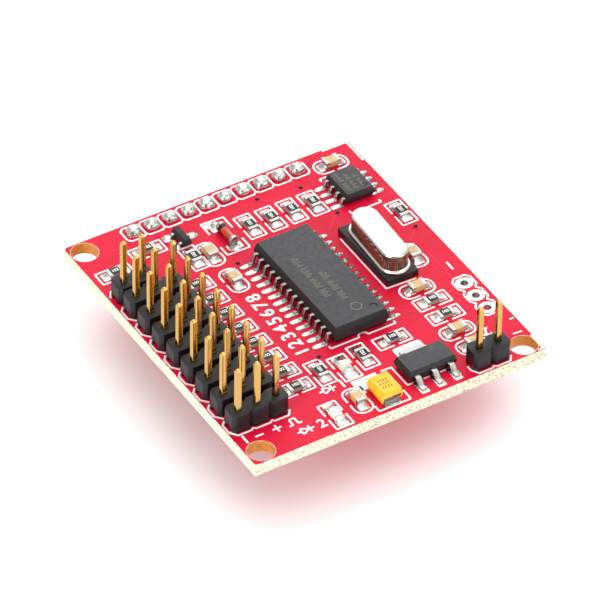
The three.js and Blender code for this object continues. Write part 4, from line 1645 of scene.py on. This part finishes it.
class SERVOBOARD_OT_tantalum(bpy.types.Operator):
    """Round the yellow capacitor and its terminals, and mark it"""

    bl_idname = "servo_board.tantalum"
    bl_label = "Tantalum capacitor"

    def execute(self, context):
        bm = cad_copy("tantalum_body")
        soften(bm, 0.09, 3, 40.0)
        piece_from("tantalum_epoxy", bm, [stuff("tantalum")], ["tantalum_body"])
        for node in ("tantalum_terminal_front", "tantalum_terminal_back"):
            bm = cad_copy(node)
            soften(bm, 0.03, 1)
            # The terminals take the half-bright tin, which paints their shade.
            piece_from(f"{node}_tinned", bm, [stuff("shaded_lead_tin")], [node])
        low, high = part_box("tantalum_body")
        bm = bmesh.new()
        for row in range(3):
            for column in range(4):
                x = low.x + (0.75 + 0.36 * column) * MM
                where = (x, low.y + (1.0 + 0.6 * row) * MM, high.z + 0.003 * MM)
                add_block(bm, where, (0.2 * MM, (0.34 - 0.06 * (column % 2)) * MM, 0.01 * MM))
        piece_from("tantalum_marks", bm, [stuff("scorch")])
        return {"FINISHED"}


def chip_shape(length_, width, height, end, part):
    """The body or the two metal ends of a chip along X, standing on Z = 0, in millimetres."""
    bm = bmesh.new()
    if part == "body":
        size = ((length_ - 0.1) * MM, (width - 0.06) * MM, (height - 0.06) * MM)
        add_block(bm, (0, 0, height / 2 * MM), size)
        soften(bm, 0.04, 1)
    if part == "ends":
        for side in (-1, 1):
            middle = (side * (length_ - end) / 2 * MM, 0, height / 2 * MM)
            add_block(bm, middle, (end * MM, width * MM, height * MM))
        soften(bm, 0.07, 2)
    return bm


class SERVOBOARD_OT_resistors(bpy.types.Operator):
    """Set every chip resistor: alumina, glaze, metal ends and numerals"""

    bl_idname = "servo_board.resistors"
    bl_label = "Chip resistors"

    def execute(self, context):
        sizes = context.scene.servo_board_parts
        length_, width = sizes.resistor_length / MM, sizes.resistor_width / MM
        height, end = sizes.resistor_height / MM, sizes.end_length / MM
        places = [(spot(x, y, 0.05), 0.0 if along else math.pi / 2) for x, y, along in all_resistors()]
        body = chip_shape(length_, width, height, end, "body")
        repeat("resistor_plates", body, places, stuff("grey_alumina"))
        ends = chip_shape(length_, width, height, end, "ends")
        repeat("resistor_ends", ends, places, stuff("tin"))
        glaze = bmesh.new()
        add_mound(glaze, (length_ - 2 * end + 0.06, width - 0.08), 0.06, 0.5, (6, 6), 8.0)
        bmesh.ops.translate(glaze, verts=glaze.verts, vec=(0, 0, (height - 0.03) * MM))
        repeat("resistor_glaze", glaze, places, stuff("glaze"))
        marks = bmesh.new()
        add_text(marks, "102", 0.62, Vector((0, 0, (height + 0.035) * MM)), 0.0, 0.01, 0.02)
        repeat("resistor_marks", marks, places, stuff("ink"))
        return {"FINISHED"}


class SERVOBOARD_OT_capacitors(bpy.types.Operator):
    """Build the ceramic capacitors' bodies and metal ends"""

    bl_idname = "servo_board.capacitors"
    bl_label = "Chip capacitors"

    def execute(self, context):
        end = context.scene.servo_board_parts.end_length / MM
        places = []
        for node in CAPACITORS:
            x, y = place_of(node)
            places.append((spot(x, y, 0.05), 0.0 if lies_along_x(node) else math.pi / 2))
            bm = cad_copy(node)
            soften(bm, 0.06, 2)
            piece_from(f"{node}_ceramic", bm, [stuff("ceramic")], [node])
        low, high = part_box(CAPACITORS[0])
        height = (high.z - low.z) / MM
        length_, width = 2.0, 1.3
        ends = bmesh.new()
        for side in (-1, 1):
            middle = (side * (length_ - end) / 2 * MM, 0, (height / 2 + 0.005) * MM)
            add_block(ends, middle, ((end + 0.02) * MM, (width + 0.02) * MM, (height + 0.01) * MM))
        soften(ends, 0.1, 2)
        repeat("capacitor_ends", ends, places, stuff("tin"))
        return {"FINISHED"}


class SERVOBOARD_OT_leds(bpy.types.Operator):
    """Build the two light-emitting diodes"""

    bl_idname = "servo_board.leds"
    bl_label = "Light-emitting diodes"

    def execute(self, context):
        for node in LEDS:
            low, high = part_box(node)
            middle = (low + high) / 2
            size = high - low
            plate = bmesh.new()
            add_block(plate, (middle.x, middle.y, low.z + 0.15 * MM), (size.x, size.y, 0.3 * MM))
            soften(plate, 0.04, 1)
            piece_from(f"{node}_plate", plate, [stuff("alumina")], [node])
            lens = bmesh.new()
            where = (middle.x, middle.y, low.z + 0.3 * MM + (size.z - 0.3 * MM) / 2)
            add_block(lens, where, (size.x - 0.1 * MM, size.y * 0.6, size.z - 0.3 * MM), 0.12 * MM)
            soften(lens, 0.08, 3)
            piece_from(f"{node}_lens", lens, [stuff("lens")])
        return {"FINISHED"}


class SERVOBOARD_OT_transistor(bpy.types.Operator):
    """Round the transistor's body and bend its three leads"""

    bl_idname = "servo_board.transistor"
    bl_label = "Transistor"

    def execute(self, context):
        bm = cad_copy("transistor_body")
        low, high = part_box("transistor_body")
        middle = (low + high) / 2
        for vert in bm.verts:
            share = 0.68 if vert.co.z > middle.z + 0.2 * MM else 0.92
            vert.co.x = middle.x + (vert.co.x - middle.x) * share
        soften(bm, 0.05, 2, 20.0)
        # The transistor's whole body takes the darker copy of the moulding.
        piece_from("transistor_moulding", bm, [stuff("dark_body_and_shade_moulding")], ["transistor_body"])
        profile = [(-0.2, 0.5), (0.18, 0.5), (0.34, 0.12), (0.72, 0.12)]
        thick = 0.12
        bm = bmesh.new()
        for side, y in ((-1, -0.95), (-1, 0.95), (1, 0.0)):
            start = low.x if side < 0 else high.x
            rings = []
            for reach, height in profile:
                x = start + side * reach * MM
                z = low.z + (height - 0.1) * MM
                corners = ((-0.2, -thick / 2), (0.2, -thick / 2), (0.2, thick / 2), (-0.2, thick / 2))
                rings.append([bm.verts.new((x, middle.y + (y + dy) * MM, z + dz * MM)) for dy, dz in corners])
            for a, b in zip(rings, rings[1:]):
                for k in range(4):
                    bm.faces.new((a[k], a[(k + 1) % 4], b[(k + 1) % 4], b[k]))
            bm.faces.new(rings[0][::-1])
            bm.faces.new(rings[-1])
        bmesh.ops.recalc_face_normals(bm, faces=bm.faces)
        soften(bm, 0.03, 1)
        piece_from("transistor_leads", bm, [stuff("tin")])
        return {"FINISHED"}


class SERVOBOARD_OT_diode(bpy.types.Operator):
    """Build the glass diode with its end caps and band"""

    bl_idname = "servo_board.diode"
    bl_label = "Glass diode"

    def execute(self, context):
        low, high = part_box("glass_diode")
        middle = (low + high) / 2
        half = (high.y - low.y) / MM / 2
        along_y = Matrix.Translation(middle) @ Matrix.Rotation(-math.pi / 2, 4, "X")
        cap = 0.5
        sleeve = bmesh.new()
        profile = [(0.0, -half + cap - 0.1), (0.56, -half + cap - 0.1), (0.56, -half + cap),
                   (0.49, -half + cap + 0.3),
                   (0.48, 0.0), (0.49, half - cap - 0.3), (0.56, half - cap), (0.56, half - cap + 0.1),
                   (0.0, half - cap + 0.1)]
        add_lathe(sleeve, profile, 28, along_y)
        piece_from("diode_sleeve", sleeve, [stuff("glass")], ["glass_diode"])
        caps = bmesh.new()
        for side in (-1, 1):
            ends = [(0.0, 0.0), (0.5, 0.0), (0.61, 0.06), (0.645, 0.16),
                    (0.645, cap - 0.06), (0.6, cap), (0.0, cap)]
            run = [(r, -half + z) for r, z in ends]
            if side > 0:
                run = [(r, half - z) for r, z in reversed(ends)]
            add_lathe(caps, run, 28, along_y)
        bmesh.ops.recalc_face_normals(caps, faces=caps.faces)
        piece_from("diode_caps", caps, [stuff("tin")])
        band = bmesh.new()
        near, far = half - cap - 0.5, half - cap + 0.02
        stripe = [(0.46, near), (0.5, near), (0.53, far - 0.2), (0.575, far), (0.46, far), (0.46, near)]
        add_lathe(band, stripe, 28, along_y)
        bmesh.ops.remove_doubles(band, verts=band.verts, dist=0.001 * MM)
        bmesh.ops.recalc_face_normals(band, faces=band.faces)
        piece_from("diode_band", band, [stuff("band")])
        return {"FINISHED"}


class SERVOBOARD_OT_vias(bpy.types.Operator):
    """Cover the small plated holes with discs of painted shade, and ring them"""

    bl_idname = "servo_board.vias"
    bl_label = "Vias"

    def execute(self, context):
        lift = context.scene.servo_board_legend.mask_height / MM
        over = lift + context.scene.servo_board_legend.track_height / MM
        # Dark discs on both faces paint the shade inside each hole.
        plug = bmesh.new()
        add_lathe(plug, [(0.0, 0.0), (0.31, 0.0), (0.31, 0.008), (0.0, 0.008)], 14)
        where = [(spot(x, y, over), 0.0) for x, y in VIAS]
        where += [(spot_below(x, y, over + 0.008), 0.0) for x, y in VIAS]
        repeat("via_holes", plug, where, stuff("void"))
        drop = board_low.z - (lift + over + 0.03) * MM
        where = [(spot(x, y), 0.0) for x, y in VIAS]
        where += [(Vector((spot(x, y).x, spot(x, y).y, drop)), 0.0) for x, y in VIAS]
        ring = bmesh.new()
        loop = [(0.3, lift), (0.5, lift), (0.5, over + 0.01), (0.44, over + 0.03), (0.34, over + 0.03),
                (0.3, over + 0.01), (0.3, lift)]
        add_lathe(ring, loop, 14)
        bmesh.ops.remove_doubles(ring, verts=ring.verts, dist=0.001 * MM)
        bmesh.ops.recalc_face_normals(ring, faces=ring.faces)
        repeat("via_rings", ring, where, stuff("mask_copper"))
        return {"FINISHED"}


class SERVOBOARD_OT_stage(bpy.types.Operator):
    """Set the floor, the lights and the camera"""

    bl_idname = "servo_board.stage"
    bl_label = "Stage"

    def execute(self, context):
        stage = context.scene.servo_board_stage
        scene = context.scene
        scene.view_settings.view_transform = "Standard"
        self.floor(stage)
        self.world(stage)
        middle = spot(BOARD_WIDTH / 2, BOARD_DEPTH / 2)
        self.panel("back_panel", middle + Vector((0.55, 0.85, 0.85)), middle, 1.5, stage.back_power)
        self.panel("overhead_panel", middle + Vector((-0.05, -0.15, 1.0)), middle, 1.1, stage.top_power)
        self.panel("front_left_panel", middle + Vector((-1.2, -0.4, 0.35)), middle, 1.0, stage.left_power)
        self.panel("front_right_panel", middle + Vector((0.6, -1.15, 0.35)), middle, 1.0, stage.right_power)
        self.flag(middle + Vector((-0.48, -0.77, 0.79)), middle, 0.9)
        self.camera(stage)
        return {"FINISHED"}

    def floor(self, stage):
        """A white plane under the part's lowest point."""
        bm = bmesh.new()
        half = stage.floor_size / 2
        around = ((-1, -1), (1, -1), (1, 1), (-1, 1))
        corners = [bm.verts.new((x * half, y * half, cad_low.z)) for x, y in around]
        bm.faces.new(corners)
        data = bpy.data.meshes.new("floor")
        bm.to_mesh(data)
        bm.free()
        made, tree, shader = new_material("pale_paper", linear("#FBF9F9"), 0.7)
        vary(tree, shader, "Base Color", 40.0, linear("#FAF8F8"), linear("#FCFAFA"))
        data.materials.append(made)
        floor = bpy.data.objects.new("floor", data)
        bpy.context.scene.collection.objects.link(floor)

    def world(self, stage):
        """An even, nearly white light from all round."""
        world = bpy.data.worlds.new("even_surround")
        world.use_nodes = True
        tree = world.node_tree
        tree.nodes.clear()
        inputs = {"Color": (*linear("#FBFFFF"), 1.0), "Strength": stage.world}
        glow = add_node(tree, "ShaderNodeBackground", inputs)
        add_node(tree, "ShaderNodeOutputWorld", {"Surface": glow.outputs[0]})
        bpy.context.scene.world = world

    def panel(self, name, where, target, size, power):
        """A square lamp at a point, turned towards its target."""
        data = bpy.data.lights.new(name, "AREA")
        data.shape = "SQUARE"
        data.size = size
        data.energy = power
        lamp = bpy.data.objects.new(name, data)
        lamp.location = where
        lamp.rotation_euler = (target - where).to_track_quat("-Z", "Y").to_euler()
        bpy.context.scene.collection.objects.link(lamp)

    def flag(self, where, target, size):
        """A black card behind the camera, which gives bright metal something dark to reflect."""
        bm = bmesh.new()
        half = size / 2
        corners = [bm.verts.new((x * half, y * half, 0.0)) for x, y in ((-1, -1), (1, -1), (1, 1), (-1, 1))]
        bm.faces.new(corners)
        turn = (target - where).to_track_quat("-Z", "Y").to_matrix().to_4x4()
        bmesh.ops.transform(bm, matrix=Matrix.Translation(where) @ turn, verts=bm.verts)
        data = bpy.data.meshes.new("dark_flag")
        bm.to_mesh(data)
        bm.free()
        made, tree, shader = new_material("black_card", linear("#0A0A0A"), 0.9)
        vary(tree, shader, "Base Color", 30.0, linear("#080808"), linear("#0C0C0C"))
        data.materials.append(made)
        card = bpy.data.objects.new("dark_flag", data)
        bpy.context.scene.collection.objects.link(card)

    def camera(self, stage):
        """The camera, set by its turn, its height as an angle and its distance."""
        data = bpy.data.cameras.new("camera")
        data.lens = stage.lens
        data.sensor_width = 36.0
        data.clip_start = 0.01
        data.clip_end = 10.0
        eye = bpy.data.objects.new("camera", data)
        a, e, r = stage.azimuth, stage.elevation, stage.roll
        back = Vector((math.sin(a) * math.cos(e), -math.cos(a) * math.cos(e), math.sin(e)))
        right = Vector((math.cos(a), math.sin(a), 0.0))
        up = back.cross(right)
        side = math.cos(r) * right + math.sin(r) * up
        top = -math.sin(r) * right + math.cos(r) * up
        aim = Vector((-0.4 * MM, -0.1 * MM, BOARD_TOP))
        eye.matrix_world = Matrix.Translation(aim + back * stage.distance) @ Matrix(
            ((side.x, top.x, back.x), (side.y, top.y, back.y), (side.z, top.z, back.z))
        ).to_4x4()
        bpy.context.scene.collection.objects.link(eye)
        bpy.context.scene.camera = eye


STEPS = [
    SERVOBOARD_OT_laminate,
    SERVOBOARD_OT_solder_mask,
    SERVOBOARD_OT_tracks,
    SERVOBOARD_OT_vias,
    SERVOBOARD_OT_legend,
    SERVOBOARD_OT_housings,
    SERVOBOARD_OT_pins,
    SERVOBOARD_OT_pin_joints,
    SERVOBOARD_OT_surface_solder,
    SERVOBOARD_OT_chips,
    SERVOBOARD_OT_regulator,
    SERVOBOARD_OT_crystal,
    SERVOBOARD_OT_tantalum,
    SERVOBOARD_OT_resistors,
    SERVOBOARD_OT_capacitors,
    SERVOBOARD_OT_leds,
    SERVOBOARD_OT_transistor,
    SERVOBOARD_OT_diode,
    SERVOBOARD_OT_stage,
]
GROUPS = {
    "servo_board_legend": ServoBoardLegend,
    "servo_board_parts": ServoBoardParts,
    "servo_board_colours": ServoBoardColours,
    "servo_board_stage": ServoBoardStage,
}


class SERVOBOARD_PT_panel(bpy.types.Panel):
    """Lists the board's sizes, colours and steps"""

    bl_idname = "SERVOBOARD_PT_panel"
    bl_label = "Servo Driver Board"
    bl_space_type = "VIEW_3D"
    bl_region_type = "UI"
    bl_category = "Servo Board"

    def draw(self, context):
        for name, group in GROUPS.items():
            box = self.layout.box()
            for prop in group.__annotations__:
                box.prop(getattr(context.scene, name), prop)
        for step in STEPS:
            self.layout.operator(step.bl_idname)


def register():
    """Registers the classes and hangs the settings on the scene."""
    for group in GROUPS.values():
        bpy.utils.register_class(group)
    for name, group in GROUPS.items():
        setattr(bpy.types.Scene, name, PointerProperty(type=group))
    for step in STEPS:
        bpy.utils.register_class(step)
    bpy.utils.register_class(SERVOBOARD_PT_panel)


def unregister():
    """Takes the settings and the classes away again."""
    bpy.utils.unregister_class(SERVOBOARD_PT_panel)
    for step in reversed(STEPS):
        bpy.utils.unregister_class(step)
    for name, group in GROUPS.items():
        delattr(bpy.types.Scene, name)
        bpy.utils.unregister_class(group)


def main():
    """Builds the board piece by piece and sets the stage."""
    register()
    for step in STEPS:
        group, call = step.bl_idname.split(".")
        getattr(getattr(bpy.ops, group), call)()


if __name__ == "__main__":
    main()
